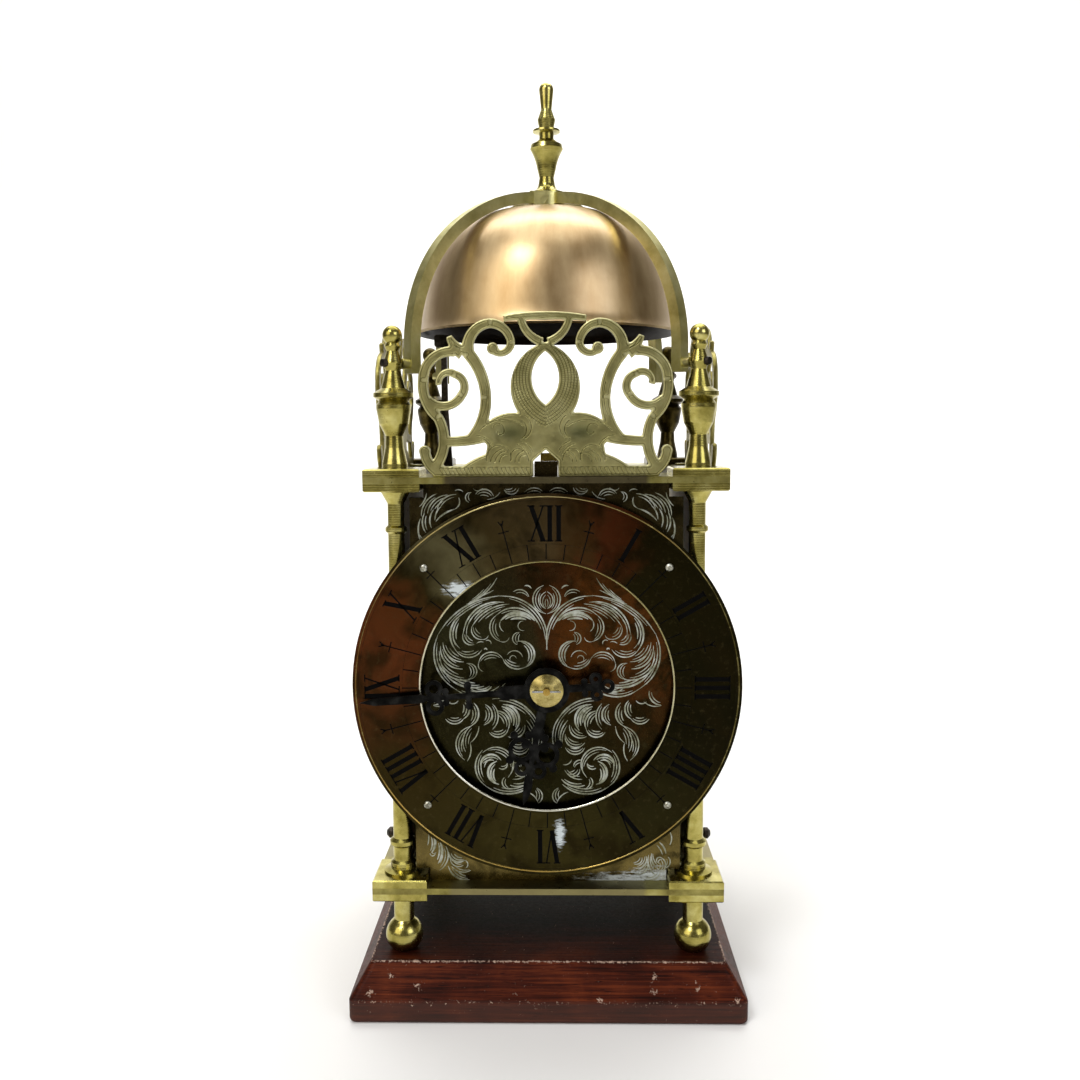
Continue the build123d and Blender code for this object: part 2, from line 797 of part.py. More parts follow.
def minute_hand():
    """A long hand with a ringed cross piece, a plain pointer and a pierced trefoil tail."""
    tip = minute_hand_length
    half = [(0, 2.9), (19.0, 2.9), (21.0, 1.2), (51.0, 1.1), (53.5, 1.9), (tip - 6.0, 1.5), (tip, 0)]
    with BuildPart() as hand:
        with BuildSketch(hand_blank(minute_hand_y, minute_hand_angle)):
            with Locations((-15.0, 0)):
                Rectangle(18.0, 3.0)
            hand_ring(-25.6, 0, 3.0, 1.3)
            for side in (-1, 1):
                hand_ring(47.4, side * 3.8, 3.8, 1.9)
                hand_ring(-20.8, side * 3.4, 2.7, 1.1)
                with Locations((33.0, side * 4.4)):
                    Circle(1.6)
                with Locations((42.6, side * 2.4), (-16.0, side * 2.6)):
                    Circle(1.4)
            Circle(9.6)
            with BuildLine() as stem:
                Polyline(*half, *[(u, -v) for u, v in reversed(half[:-1])], close=True)
            make_face(stem.edges())
            with Locations((33.0, 0)):
                Rectangle(2.2, 9.0)
            Circle(cannon_pipe + 0.02, mode=Mode.SUBTRACT)
        extrude(amount=hand_thickness)
    save(hand, "minute_hand")


def hand_collet():
    """The domed brass collet in front of the minute hand."""
    back = minute_hand_y - 0.1
    dome = [
        (7.0, back),
        (7.0, back - 0.5),
        (3.4, back - 1.9),
    ]
    with BuildPart() as collet:
        turned(along(0, dial_centre_z), dome, back, back - 1.9)
        rod(along(0, dial_centre_z), centre_arbor + 0.02, back - 1.9, back, Mode.SUBTRACT)
    save(collet, "hand_collet")


def hand_pin():
    """The taper pin across the centre arbor that holds the collet."""
    with BuildPart() as pin:
        with BuildSketch(Plane(origin=(-6.0, hand_pin_y, dial_centre_z), z_dir=(1, 0, 0))):
            Circle(0.42)
        with BuildSketch(Plane(origin=(6.0, hand_pin_y, dial_centre_z), z_dir=(1, 0, 0))):
            Circle(0.28)
        loft()
    save(pin, "hand_pin")


# ---------------------------------------------------------------- movement: plates and fixings
def movement_plate_piece(name, front, holes, stud):
    """A movement plate on two legs, with its pivot holes and, in front, the minute wheel's stud."""
    with BuildPart() as plate:
        with BuildSketch(facing(0, front + movement_plate, 0)):
            with Locations((0, (lower_plate_top + movement_top_z) / 2)):
                Rectangle(2 * movement_half_width, movement_top_z - lower_plate_top)
            with Locations((0, lower_plate_top)):
                Rectangle(60.0, 2 * 20.0, mode=Mode.SUBTRACT)
            with Locations((0, lower_plate_top + 20.0)):
                Circle(30.0, mode=Mode.SUBTRACT)
            for centre, radius in holes:
                with Locations(centre):
                    Circle(radius, mode=Mode.SUBTRACT)
        extrude(amount=movement_plate)
        if stud:
            rod(along(*minute_arbor), 1.5, minute_pinion_front - 1.2, front + 0.5)
    save(plate, name)


def movement_plates():
    arbors = [third_arbor, fourth_arbor, escape_arbor, pallet_arbor, balance_arbor,
              pin_arbor, warning_arbor, fly_arbor, hammer_arbor]
    pivots = [(centre, pivot_radius + pivot_gap) for centre in arbors]
    barrels = [(centre, barrel_pivot + pivot_gap) for centre in (going_arbor, strike_arbor)]
    in_front = [(centre_axis, centre_arbor + pivot_gap)]
    behind = [(centre_axis, pivot_radius + pivot_gap)]
    movement_plate_piece("front_movement_plate", front_plate_y, pivots + barrels + in_front, True)
    movement_plate_piece("rear_movement_plate", rear_plate_y, pivots + barrels + behind, False)


def movement_pillars():
    """Four plain pillars between the movement plates."""
    with BuildPart() as pillars:
        for centre in movement_corners:
            rod(along(*centre), 3.0, front_plate_y + movement_plate, rear_plate_y)
    save(pillars, "movement_pillars")


def movement_brackets():
    """Four angle brackets that stand the movement's legs on the bottom plate."""
    leg, sheet = 9.0, 1.6
    with BuildPart() as brackets:
        for face, way in ((front_plate_y, -1), (rear_plate_y + movement_plate, 1)):
            for x in (-bracket_x, bracket_x):
                corner = Plane(origin=(x, face, lower_plate_top), x_dir=(0, way, 0), z_dir=(way, 0, 0))
                with BuildSketch(corner) as angle:
                    with BuildLine() as edge:
                        inside = [(leg, sheet), (sheet, sheet), (sheet, leg)]
                        Polyline((0, 0), (leg, 0), *inside, (0, leg), close=True)
                    make_face(edge.edges())
                extrude(angle.sketch, amount=3.5, both=True)
    save(brackets, "movement_brackets")


# ---------------------------------------------------------------- movement: arbors, wheels and pinions
def arbor(centre, radius=1.1, front_end=None):
    """An arbor between the plates: pivots outside its shoulders, or a plain front end."""
    front = front_plate_y + movement_plate
    shape = [
        (pivot_radius, front_plate_y),
        (pivot_radius, front + end_shake),
        (radius, front + end_shake),
        (radius, rear_plate_y - end_shake),
        (pivot_radius, rear_plate_y - end_shake),
        (pivot_radius, rear_plate_y + movement_plate),
    ]
    if front_end is not None:
        shape = [(radius, front_end)] + shape[3:]
    turned(along(*centre), shape, shape[0][1], shape[-1][1])


def crossed_wheel(centre, teeth, module, tooth_at, front, thickness=1.5):
    """A wheel with pointed teeth and four windows that leave a rim, a hub and four arms."""
    toothed_disc(centre, teeth, module, tooth_at, front, front + thickness)
    rim_width, hub = 2.2, 4.2
    inside_rim = teeth * module / 2 - 1.6 * module - rim_width
    window_at = ((inside_rim, 12), (inside_rim, 45), (inside_rim, 78), (hub, 62), (hub, 28))
    with BuildSketch(facing(centre[0], front + thickness, centre[1])) as windows:
        for quarter in range(4):
            turn = 90 * quarter
            with BuildLine() as window:
                Polyline(*[beside((0, 0), reach, turn + angle) for reach, angle in window_at], close=True)
            make_face(window.edges())
    extrude(windows.sketch, amount=thickness, mode=Mode.SUBTRACT)


def gap_at(direction, leaves):
    """The tooth angle that puts a pinion's gap in a direction."""
    return direction + 180 / leaves


def barrel(name, centre, body_front, body_back, teeth_at):
    """A spring barrel with its great wheel, turning on its winding arbor."""
    with BuildPart() as drum:
        rod(along(*centre), barrel_radius, body_front, body_back)
        toothed_disc(centre, barrel_teeth, barrel_module, teeth_at, body_back, body_back + 3.0)
        rod(along(*centre), barrel_arbor + 0.08, body_front, body_back + 3.0, Mode.SUBTRACT)
    save(drum, name)


def winding_arbor(name, centre):
    """A barrel arbor: pivots in both plates and a square for the key behind."""
    front, back = front_plate_y + movement_plate, rear_plate_y
    shape = [
        (barrel_pivot, front_plate_y),
        (barrel_pivot, front + end_shake),
        (barrel_arbor, front + end_shake),
        (barrel_arbor, back - end_shake),
        (barrel_pivot, back - end_shake),
        (barrel_pivot, back + movement_plate + 0.5),
    ]
    with BuildPart() as stem:
        turned(along(*centre), shape, front_plate_y, back + movement_plate + 0.5)
        with BuildSketch(facing(centre[0], winding_square_end, centre[1])):
            Rectangle(3.4, 3.4)
        extrude(amount=winding_square_end - back - movement_plate - 0.5)
    save(stem, name)


def centre_wheel():
    """The centre arbor with its pinion and wheel; its long front end carries the motion work."""
    with BuildPart() as piece:
        arbor(centre_axis, centre_arbor, front_end=centre_front_y)
        toothed_disc(centre_axis, 8, barrel_module, gap_at(going_angle + 180, 8), -8.5, -4.5)
        crossed_wheel(centre_axis, 56, 0.7, third_angle, 8.0)
        with BuildSketch(Plane(origin=(-5.0, hand_pin_y, dial_centre_z), z_dir=(1, 0, 0))) as cross_hole:
            Circle(0.5)
        extrude(cross_hole.sketch, amount=10.0, mode=Mode.SUBTRACT)
    save(piece, "centre_wheel")


def train_piece(name, centre, pinion, wheel):
    """An arbor with its pinion, then its wheel, each as (teeth, module, tooth angle, front)."""
    leaves, fine, gap, at = pinion
    teeth, module, tooth, front = wheel
    with BuildPart() as piece:
        arbor(centre)
        toothed_disc(centre, leaves, fine, gap, at, at + 3.0)
        crossed_wheel(centre, teeth, module, tooth, front)
    save(piece, name)


def going_train():
    third_pinion = (7, 0.7, gap_at(third_angle + 180, 7), 7.2)
    train_piece("third_wheel", third_arbor, third_pinion, (60, 0.6, fourth_angle, 0.0))
    fourth_pinion = (8, 0.6, gap_at(fourth_angle + 180, 8), -0.8)
    train_piece("fourth_wheel", fourth_arbor, fourth_pinion, (56, 0.5, escape_angle, 12.0))
    with BuildPart() as escape:
        arbor(escape_arbor)
        toothed_disc(escape_arbor, 7, 0.5, gap_at(escape_angle + 180, 7), 11.2, 14.2)
        with BuildSketch(facing(escape_arbor[0], escape_front + 1.4, escape_arbor[1])) as ratchet:
            with BuildLine() as teeth:
                points = []
                for tooth in range(15):
                    for reach, lead in ((escape_radius, 0), (escape_radius - 2.2, 5)):
                        angle = radians(tooth * 24 + lead)
                        points.append((reach * cos(angle), reach * sin(angle)))
                Polyline(*points, close=True)
            make_face(teeth.edges())
        extrude(ratchet.sketch, amount=1.4)
    save(escape, "escape_wheel")


def pallet_lever():
    """The lever: two pallets astride the escape wheel and a fork towards the balance."""
    towards_wheel = degrees(atan2(escape_arbor[1] - pallet_arbor[1], escape_arbor[0] - pallet_arbor[0]))
    with BuildPart() as lever:
        arbor(pallet_arbor, 0.9)
        plane = facing(pallet_arbor[0], escape_front + 1.4, pallet_arbor[1], 90 - towards_wheel)
        with BuildSketch(plane) as anchor:
            with BuildLine() as arms:
                reach, spread = pallet_span
                fork = [(-8.0, 1.0), (-8.0, 1.8), (-2.0, 1.4), (-1.0, 3.0)]
                pallet = [(reach - 1.6, spread + 1.4), (reach, spread + 0.6), (reach - 0.6, spread - 1.2)]
                upper = fork + pallet
                lower = [(u, -v) for u, v in reversed(upper)]
                Polyline((-5.6, 0), *upper, (1.6, 0), *lower, close=True)
            make_face(arms.edges())
        extrude(anchor.sketch, amount=1.4)
    save(lever, "pallet_lever")


def balance_wheel():
    """A two-armed balance on its staff, with the safety roller beside the lever's fork."""
    with BuildPart() as balance:
        arbor(balance_arbor, 0.9)
        with BuildSketch(facing(balance_arbor[0], 15.5, balance_arbor[1])) as rim:
            Circle(balance_radius)
            Circle(balance_radius - 1.8, mode=Mode.SUBTRACT)
            Rectangle(2 * balance_radius - 2.0, 2.2)
        extrude(rim.sketch, amount=1.5)
        rod(along(*balance_arbor), 1.5, escape_front, escape_front + 1.4)
    save(balance, "balance_wheel")


def hairspring():
    """The balance spring: a flat spiral of half turns outside its collet."""
    with BuildPart() as spring:
        with BuildSketch(facing(balance_arbor[0], 19.0, balance_arbor[1])) as strip:
            with BuildLine() as coil:
                side, here = 1, 2.0
                for half_turn in range(5):
                    there = here + 0.7
                    crown = ((here - there) / 2 * side, (here + there) / 2 * side)
                    ThreePointArc((side * here, 0), crown, (-side * there, 0))
                    side, here = -side, there
            trace(coil.edges(), line_width=0.3)
        extrude(strip.sketch, amount=1.0)
        with BuildSketch(facing(balance_arbor[0], 19.2, balance_arbor[1])) as collet:
            Circle(2.2)
            Circle(0.92, mode=Mode.SUBTRACT)
        extrude(collet.sketch, amount=1.4)
    save(spring, "hairspring")


def strike_train():
    with BuildPart() as lifting:
        arbor(pin_arbor)
        toothed_disc(pin_arbor, 8, barrel_module, gap_at(pin_angle + 180, 8), -14.5, -10.5)
        crossed_wheel(pin_arbor, 48, 0.7, warning_angle, pin_wheel_front)
        with BuildSketch(facing(pin_arbor[0], pin_end_y, pin_arbor[1])) as pins:
            with PolarLocations(lifting_pin_radius, lifting_pins):
                RegularPolygon(0.8, 6)
        extrude(pins.sketch, amount=pin_end_y - pin_wheel_front - 1.0)
    save(lifting, "pin_wheel")
    warning_pinion = (8, 0.7, gap_at(warning_angle + 180, 8), 3.2)
    train_piece("warning_wheel", warning_arbor, warning_pinion, (42, 0.6, fly_angle, -20.0))
    with BuildPart() as vane:
        arbor(fly_arbor, 0.9)
        toothed_disc(fly_arbor, 7, 0.6, gap_at(fly_angle + 180, 7), -20.8, -17.8)
        with BuildSketch(facing(fly_arbor[0], -24.0, fly_arbor[1])) as blade:
            Rectangle(22.0, 0.8)
        extrude(blade.sketch, amount=8.0)
        rod(along(*fly_arbor), 1.6, -32.5, -23.5)
    save(vane, "fly")


# ---------------------------------------------------------------- motion work and hammer
def cannon_pinion():
    """The pipe that carries the minute hand, with its pinion behind."""
    with BuildPart() as pipe:
        toothed_disc(centre_axis, 14, motion_module, gap_at(270, 14), cannon_front, cannon_front + 2.0)
        rod(along(*centre_axis), cannon_pipe, minute_hand_y, cannon_front + 2.0)
        rod(along(*centre_axis), centre_arbor + 0.02, minute_hand_y, cannon_front + 2.0, Mode.SUBTRACT)
    save(pipe, "cannon_pinion")


def minute_wheel():
    """The idler on its stud: 42 teeth driven by the cannon, 12 leaves driving the hour wheel."""
    with BuildPart() as idler:
        crossed_wheel(minute_arbor, 42, motion_module, 90, cannon_front, 1.6)
        toothed_disc(minute_arbor, 12, 0.8, gap_at(90, 12), minute_pinion_front, cannon_front)
        rod(along(*minute_arbor), 1.56, minute_pinion_front, cannon_front + 1.6, Mode.SUBTRACT)
    save(idler, "minute_wheel")


def hour_wheel():
    """The hour wheel on the pipe that carries the hour hand."""
    with BuildPart() as wheel:
        crossed_wheel(centre_axis, 48, 0.8, 270, hour_wheel_front)
        rod(along(*centre_axis), hour_pipe, hour_hand_y, hour_wheel_front + 1.5)
        rod(along(*centre_axis), cannon_pipe + 0.08, hour_hand_y, hour_wheel_front + 1.5, Mode.SUBTRACT)
    save(wheel, "hour_wheel")


def hammer():
    """The hammer: an upright flat stem on its arbor, a head under the bell and a tail to the pins."""
    x, z = hammer_arbor
    top_x, top_z, bend_z = hammer_head_x, hammer_head_z, 262.0
    with BuildPart() as striker:
        arbor(hammer_arbor, 1.2)
        with BuildSketch(facing(0, hammer_y + 1.5, 0)) as stem:
            with BuildLine() as edge:
                hub = [(x + 2.2, z + 3.0), (x + 2.0, z - 3.0), (x - 2.6, z - 3.0), (x - 2.6, z + 3.0)]
                top = [(top_x - 1.4, top_z), (top_x + 1.2, top_z)]
                Polyline(*hub, (top_x - 1.6, bend_z), *top, (top_x + 1.6, bend_z), close=True)
            make_face(edge.edges())
        extrude(stem.sketch, amount=3.0)
        with BuildSketch(facing(0, hammer_y + 3.5, 0)) as head:
            with Locations((hammer_head_x, hammer_head_z)):
                RectangleRounded(9.0, 6.0, 1.4)
        extrude(head.sketch, amount=7.0)
        tail = degrees(atan2(pin_arbor[1] - z, pin_arbor[0] - x))
        with BuildSketch(facing(x, pin_end_y + 0.7, z, 90 - tail)) as arm:
            with Locations((4.8, 0)):
                Rectangle(10.6, 2.4)
        extrude(arm.sketch, amount=2.4)
    save(striker, "hammer")


def hammer_spring():
    """The blade spring on the rear plate that leans against the hammer's stem."""
    x, z = hammer_arbor
    with BuildPart() as spring:
        with BuildSketch(facing(0, rear_plate_y, 0)) as blade:
            with BuildLine() as edge:
                Polyline((x + 4.2, z - 26.0), (x + 9.0, z - 26.0), (x + 9.0, z - 20.0), (x + 5.2, z - 20.0),
                         (x + 4.2, z + 10.0), (x + 3.6, z + 10.0), close=True)
            make_face(edge.edges())
        extrude(blade.sketch, amount=7.5)
    save(spring, "hammer_spring")


# ---------------------------------------------------------------- build everything
plinth()
bottom_plate()
top_plate()
for corner, place in corners.items():
    foot(corner, *place)
    pillar(corner, *place)
    finial(corner, *place)
frets()
bell_strap()
strap_screws()
bell()
bell_finial()
bell_nut()
dial_plate()
chapter_ring()
back_cover()
for hand_side, sign in (("left", -1), ("right", 1)):
    door(f"{hand_side}_door", sign)
    door_knob(f"{hand_side}_door_knob", sign)
hour_hand()
minute_hand()
hand_collet()
hand_pin()
movement_plates()
movement_pillars()
movement_brackets()
barrel("going_barrel", going_arbor, -34.0, -8.0, going_angle)
barrel("strike_barrel", strike_arbor, -34.0, -14.0, pin_angle)
winding_arbor("going_winding_arbor", going_arbor)
winding_arbor("strike_winding_arbor", strike_arbor)
centre_wheel()
going_train()
pallet_lever()
balance_wheel()
hairspring()
strike_train()
cannon_pinion()
minute_wheel()
hour_wheel()
hammer()
hammer_spring()
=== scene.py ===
# Lantern clock on a canted mahogany plinth: brass posts, bell, frets, engraved dial and blued hands.
import json
import math

import bpy
from mathutils import Matrix, Vector
from mathutils.kdtree import KDTree


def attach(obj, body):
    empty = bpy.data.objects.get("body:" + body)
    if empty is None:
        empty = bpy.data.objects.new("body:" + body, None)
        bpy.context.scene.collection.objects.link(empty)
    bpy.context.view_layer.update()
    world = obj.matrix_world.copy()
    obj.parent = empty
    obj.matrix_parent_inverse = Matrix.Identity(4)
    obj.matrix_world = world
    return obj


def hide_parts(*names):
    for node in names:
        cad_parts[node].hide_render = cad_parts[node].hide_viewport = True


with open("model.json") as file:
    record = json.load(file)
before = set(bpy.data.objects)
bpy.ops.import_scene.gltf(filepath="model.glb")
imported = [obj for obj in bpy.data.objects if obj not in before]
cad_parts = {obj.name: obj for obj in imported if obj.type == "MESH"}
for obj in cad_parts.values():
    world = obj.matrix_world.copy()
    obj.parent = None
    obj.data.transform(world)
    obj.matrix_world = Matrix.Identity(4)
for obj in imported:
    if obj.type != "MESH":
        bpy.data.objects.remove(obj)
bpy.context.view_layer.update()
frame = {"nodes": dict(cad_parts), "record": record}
cadNodes = frame["nodes"]
mm = 0.001
print("frame loaded:", len(cadNodes), "nodes")


def deselectAll():
    if bpy.context.mode != "OBJECT":
        bpy.ops.object.mode_set(mode="OBJECT")
    bpy.ops.object.select_all(action="DESELECT")


def keepOnly(pieces):
    # selects these pieces alone, the first of them active
    deselectAll()
    for piece in pieces:
        piece.select_set(True)
    bpy.context.view_layer.objects.active = pieces[0]


def settle(piece, name, material, body="frame", smooth=None):
    # applies the place to the mesh, names the piece and lets it ride on a body
    keepOnly([piece])
    bpy.ops.object.transform_apply(location=True, rotation=True, scale=True)
    if smooth is not None:
        bpy.ops.object.shade_smooth_by_angle(angle=math.radians(smooth))
    piece.name = name
    piece.data.name = name
    piece.data.materials.clear()
    piece.data.materials.append(material)
    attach(piece, body)


def joined(pieces):
    keepOnly(pieces)
    if len(pieces) > 1:
        bpy.ops.object.join()
    return bpy.context.view_layer.objects.active


def outwards(piece):
    # merges doubles, then turns every face outwards
    keepOnly([piece])
    bpy.ops.object.mode_set(mode="EDIT")
    bpy.ops.mesh.select_all(action="SELECT")
    bpy.ops.mesh.remove_doubles(threshold=0.005 * mm)
    bpy.ops.mesh.normals_make_consistent(inside=False)
    bpy.ops.object.mode_set(mode="OBJECT")


def linear(hexColour):
    # an sRGB hex value as a linear colour
    channels = [int(hexColour[at:at + 2], 16) / 255 for at in (1, 3, 5)]
    return [c / 12.92 if c <= 0.04045 else ((c + 0.055) / 1.055) ** 2.4 for c in channels] + [1.0]


def plug(tree, node, inputs):
    # links an input where another node's socket is given, and sets it where a value is
    for place, given in inputs.items():
        if isinstance(given, bpy.types.NodeSocket):
            tree.links.new(given, node.inputs[place])
        else:
            node.inputs[place].default_value = given


def addNode(tree, kind, inputs=None, stops=(), **settings):
    # adds a node with its inputs, colour stops and settings, and gives back its outputs
    # (a Mix of colours takes its share at 0, the colours at 6 and 7, and gives the result at 2)
    node = tree.nodes.new("ShaderNode" + kind)
    for name, value in settings.items():
        setattr(node, name, value)
    plug(tree, node, inputs or {})
    for index, (position, hexColour) in enumerate(stops):
        elements = node.color_ramp.elements
        element = elements[index] if index < 2 else elements.new(position)
        element.position = position
        element.color = linear(hexColour)
    return node.outputs


def perMm(size):
    # the noise scale that gives features of a size in millimetres
    return 1 / (size * mm)


def waveScale(spacing):
    # the wave texture's scale for bands at a spacing in millimetres; at a scale of 1 they are pi / 10 apart
    return math.pi / 10 / (spacing * mm)


def newMaterial(name, metallic, roughness):
    # a material with its node tree and its one shader
    material = bpy.data.materials.new(name)
    material.use_nodes = True
    tree = material.node_tree
    shader = tree.nodes["Principled BSDF"]
    plug(tree, shader, {"Metallic": metallic, "Roughness": roughness})
    return material, tree, shader


# Brass: an even pale yellow-green, duller where the polish has thinned. Sizes are in millimetres, and the
# rubbing lines are drawn coarser than real ones, so that they show.
frameBrassLook = {
    "dark": "#6e6739", "main": "#9f975a", "light": "#c4bd84", "tarnish": "#564c26", "cloudSize": 14.0,
    "spotSize": 2.6, "spotFrom": 0.60, "spotFade": 0.2, "spotStrength": 0.35, "smoothest": 0.26,
    "roughest": 0.44, "lineSpacing": 1.3, "lineDepth": 0.05, "lineAlong": "Z", "pitDepth": 0.08,
}
turnedBrassLook = dict(frameBrassLook, dark="#73692c", main="#a69c55", light="#cdc582", cloudSize=9.0,
                       lineSpacing=1.0, lineDepth=0.10, smoothest=0.18, roughest=0.32)
plateBrassLook = dict(frameBrassLook, dark="#5f562c", main="#958d50", light="#bab276", lineAlong="X",
                      lineSpacing=0.9)
# the bell strap: the same brass made paler, as painted light on the band
litStrapBrassLook = dict(frameBrassLook, dark="#a39c60", main="#c9c285", light="#e0dba6", smoothest=0.3,
                      roughest=0.48)
# the rear finials: a much darker copy of the frame brass
darkRearBrassLook = dict(frameBrassLook, dark="#1d190b", main="#41381b", light="#7f7342", tarnish="#120f05",
                          cloudSize=7.0, spotStrength=0.6, smoothest=0.26, roughest=0.42)
panelBrassLook = dict(frameBrassLook, dark="#85753e", main="#9c8a4e", light="#b5a564", cloudSize=42.0,
                      lineSpacing=1.6)
wheelBrassLook = dict(frameBrassLook, dark="#8a6f30", main="#bfa155", light="#dcc478", tarnish="#6a5424",
                      smoothest=0.22, roughest=0.38, lineAlong="X")
colletBrassLook = dict(frameBrassLook, dark="#716434", main="#ad9e62", light="#c6b883", cloudSize=3.0,
                       smoothest=0.22, roughest=0.40, lineSpacing=0.8, lineAlong="X")
fretLook = dict(frameBrassLook, dark="#79744a", main="#9c9664", light="#b8b382", cloudSize=11.0,
                smoothest=0.34, roughest=0.50, lineDepth=0.0, cutColour="#3d3b1c", rimWearAndHighlightColour="#d9d5a6",
                hollowShadeColour="#555838", outlineAt=0.95, outlineHalf=0.16, strokeHalf=0.20, scaleAcross=0.62,
                scaleAlong=0.5, scaleHalfAcross=0.14, scaleHalfAlong=0.13)
# the side frets: the same brass, darker as painted shade
shadedSideFretLook = dict(fretLook, dark="#57502a", main="#857c44", light="#a69d62")


def brass(name, look):
    # clouds of tone, tarnish spots that are rougher too, rubbing lines and fine pits
    material, tree, shader = newMaterial(name, 1.0, look["smoothest"])
    place = addNode(tree, "TexCoord")["Object"]
    cloud = addNode(tree, "TexNoise", {
        "Vector": place, "Scale": perMm(look["cloudSize"]), "Detail": 6.0, "Roughness": 0.62})["Fac"]
    tone = addNode(tree, "ValToRGB", {"Fac": cloud}, [
        (0.28, look["dark"]), (0.52, look["main"]), (0.78, look["light"])])["Color"]
    spots = addNode(tree, "TexNoise", {
        "Vector": place, "Scale": perMm(look["spotSize"]), "Detail": 8.0, "Roughness": 0.7,
        "Distortion": 0.6})["Fac"]
    tarnished = addNode(tree, "MapRange", {
        "Value": spots, "From Min": look["spotFrom"], "From Max": look["spotFrom"] + look["spotFade"],
        "To Max": look["spotStrength"]})["Result"]
    colour = addNode(tree, "Mix", {0: tarnished, 6: tone, 7: linear(look["tarnish"])}, data_type="RGBA")[2]
    gloss = addNode(tree, "MapRange", {
        "Value": spots, "From Min": 0.35, "From Max": 0.75, "To Min": look["smoothest"],
        "To Max": look["roughest"]})["Result"]
    lines = addNode(tree, "TexWave", {
        "Vector": place, "Scale": waveScale(look["lineSpacing"]), "Distortion": 1.2, "Detail": 2.0,
        "Detail Scale": 1.5}, bands_direction=look["lineAlong"])["Fac"]
    rubbed = addNode(tree, "Bump", {
        "Height": lines, "Strength": look["lineDepth"], "Distance": 0.1 * mm})["Normal"]
    pitted = addNode(tree, "Bump", {
        "Height": spots, "Strength": look["pitDepth"], "Distance": 0.15 * mm, "Normal": rubbed})["Normal"]
    plug(tree, shader, {"Base Color": colour, "Roughness": gloss, "Normal": pitted})
    return material


def darkerBetweenCorners(material, halfWidth, hexColour):
    # the same brass made darker everywhere but in the four corners, beyond a half width from the middle
    tree = material.node_tree
    shader = tree.nodes["Principled BSDF"]
    colour = shader.inputs["Base Color"].links[0].from_socket
    axes = addNode(tree, "SeparateXYZ", {"Vector": addNode(tree, "TexCoord")["Object"]})
    sides = [addNode(tree, "Math", {0: axes[axis]}, operation="ABSOLUTE")[0] for axis in ("X", "Y")]
    nearer = addNode(tree, "Math", {0: sides[0], 1: sides[1]}, operation="MINIMUM")[0]
    dull = addNode(tree, "MapRange", {
        "Value": nearer, "From Min": (halfWidth - 2) * mm, "From Max": halfWidth * mm, "To Min": 0.85,
        "To Max": 0.0})["Result"]
    mixed = addNode(tree, "Mix", {0: dull, 6: colour, 7: linear(hexColour)}, data_type="RGBA")[2]
    plug(tree, shader, {"Base Color": mixed})
    return material


def bellBronze():
    # Spun bell metal: tan-brown, polished up and down, so the streaks run from crown to lip; painted dark
    # inside as shade, and rougher there.
    look = {"dark": "#a28459", "main": "#b89e74", "light": "#cbb38a", "smudge": "#8a6c44",
            "inside": "#1c1208", "streaks": 3.4, "streakStretch": 6.0, "smudgeSize": 16.0, "smoothest": 0.33,
            "roughest": 0.44, "insideRougher": 0.35, "insideFrom": -0.5, "mouthZ": 297.0}
    material, tree, shader = newMaterial("spunBellBronze", 1.0, look["smoothest"])
    plug(tree, shader, {"Coat Weight": 0.3, "Coat Roughness": 0.2})
    coordinates = addNode(tree, "TexCoord")
    place = coordinates["Object"]
    axes = addNode(tree, "SeparateXYZ", {"Vector": place})
    turn = addNode(tree, "Math", {0: axes["Y"], 1: axes["X"]}, operation="ARCTAN2")[0]
    height = addNode(tree, "Math", {0: axes["Z"], 1: look["streakStretch"]}, operation="MULTIPLY")[0]
    around = addNode(tree, "CombineXYZ", {"X": turn, "Z": height})["Vector"]
    streaks = addNode(tree, "TexNoise", {
        "Vector": around, "Scale": look["streaks"], "Detail": 7.0, "Roughness": 0.62})["Fac"]
    tone = addNode(tree, "ValToRGB", {"Fac": streaks}, [
        (0.3, look["dark"]), (0.5, look["main"]), (0.72, look["light"])])["Color"]
    smudge = addNode(tree, "TexNoise", {
        "Vector": place, "Scale": perMm(look["smudgeSize"]), "Detail": 5.0})["Fac"]
    smudged = addNode(tree, "MapRange", {
        "Value": smudge, "From Min": 0.55, "From Max": 0.8, "To Max": 0.4})["Result"]
    colour = addNode(tree, "Mix", {0: smudged, 6: tone, 7: linear(look["smudge"])}, data_type="RGBA")[2]
    # a face looks inwards where its normal points back to the middle of the mouth; there the bronze is
    # painted dark as shade
    fromMouth = addNode(tree, "VectorMath", {
        0: place, 1: (0, 0, look["mouthZ"] * mm)}, operation="SUBTRACT")["Vector"]
    outward = addNode(tree, "VectorMath", {
        0: fromMouth, 1: coordinates["Normal"]}, operation="DOT_PRODUCT")["Value"]
    inner = addNode(tree, "Math", {0: outward, 1: look["insideFrom"] * mm}, operation="LESS_THAN")[0]
    colour = addNode(tree, "Mix", {0: inner, 6: colour, 7: linear(look["inside"])}, data_type="RGBA")[2]
    gloss = addNode(tree, "MapRange", {
        "Value": streaks, "From Min": 0.3, "From Max": 0.7, "To Min": look["smoothest"],
        "To Max": look["roughest"]})["Result"]
    dull = addNode(tree, "Math", {0: inner, 1: look["insideRougher"], 2: gloss}, operation="MULTIPLY_ADD")[0]
    bump = addNode(tree, "Bump", {"Height": streaks, "Strength": 0.02, "Distance": 0.1 * mm})["Normal"]
    plug(tree, shader, {"Base Color": colour, "Roughness": dull, "Normal": bump})
    return material


dialCentreZ = 143.5
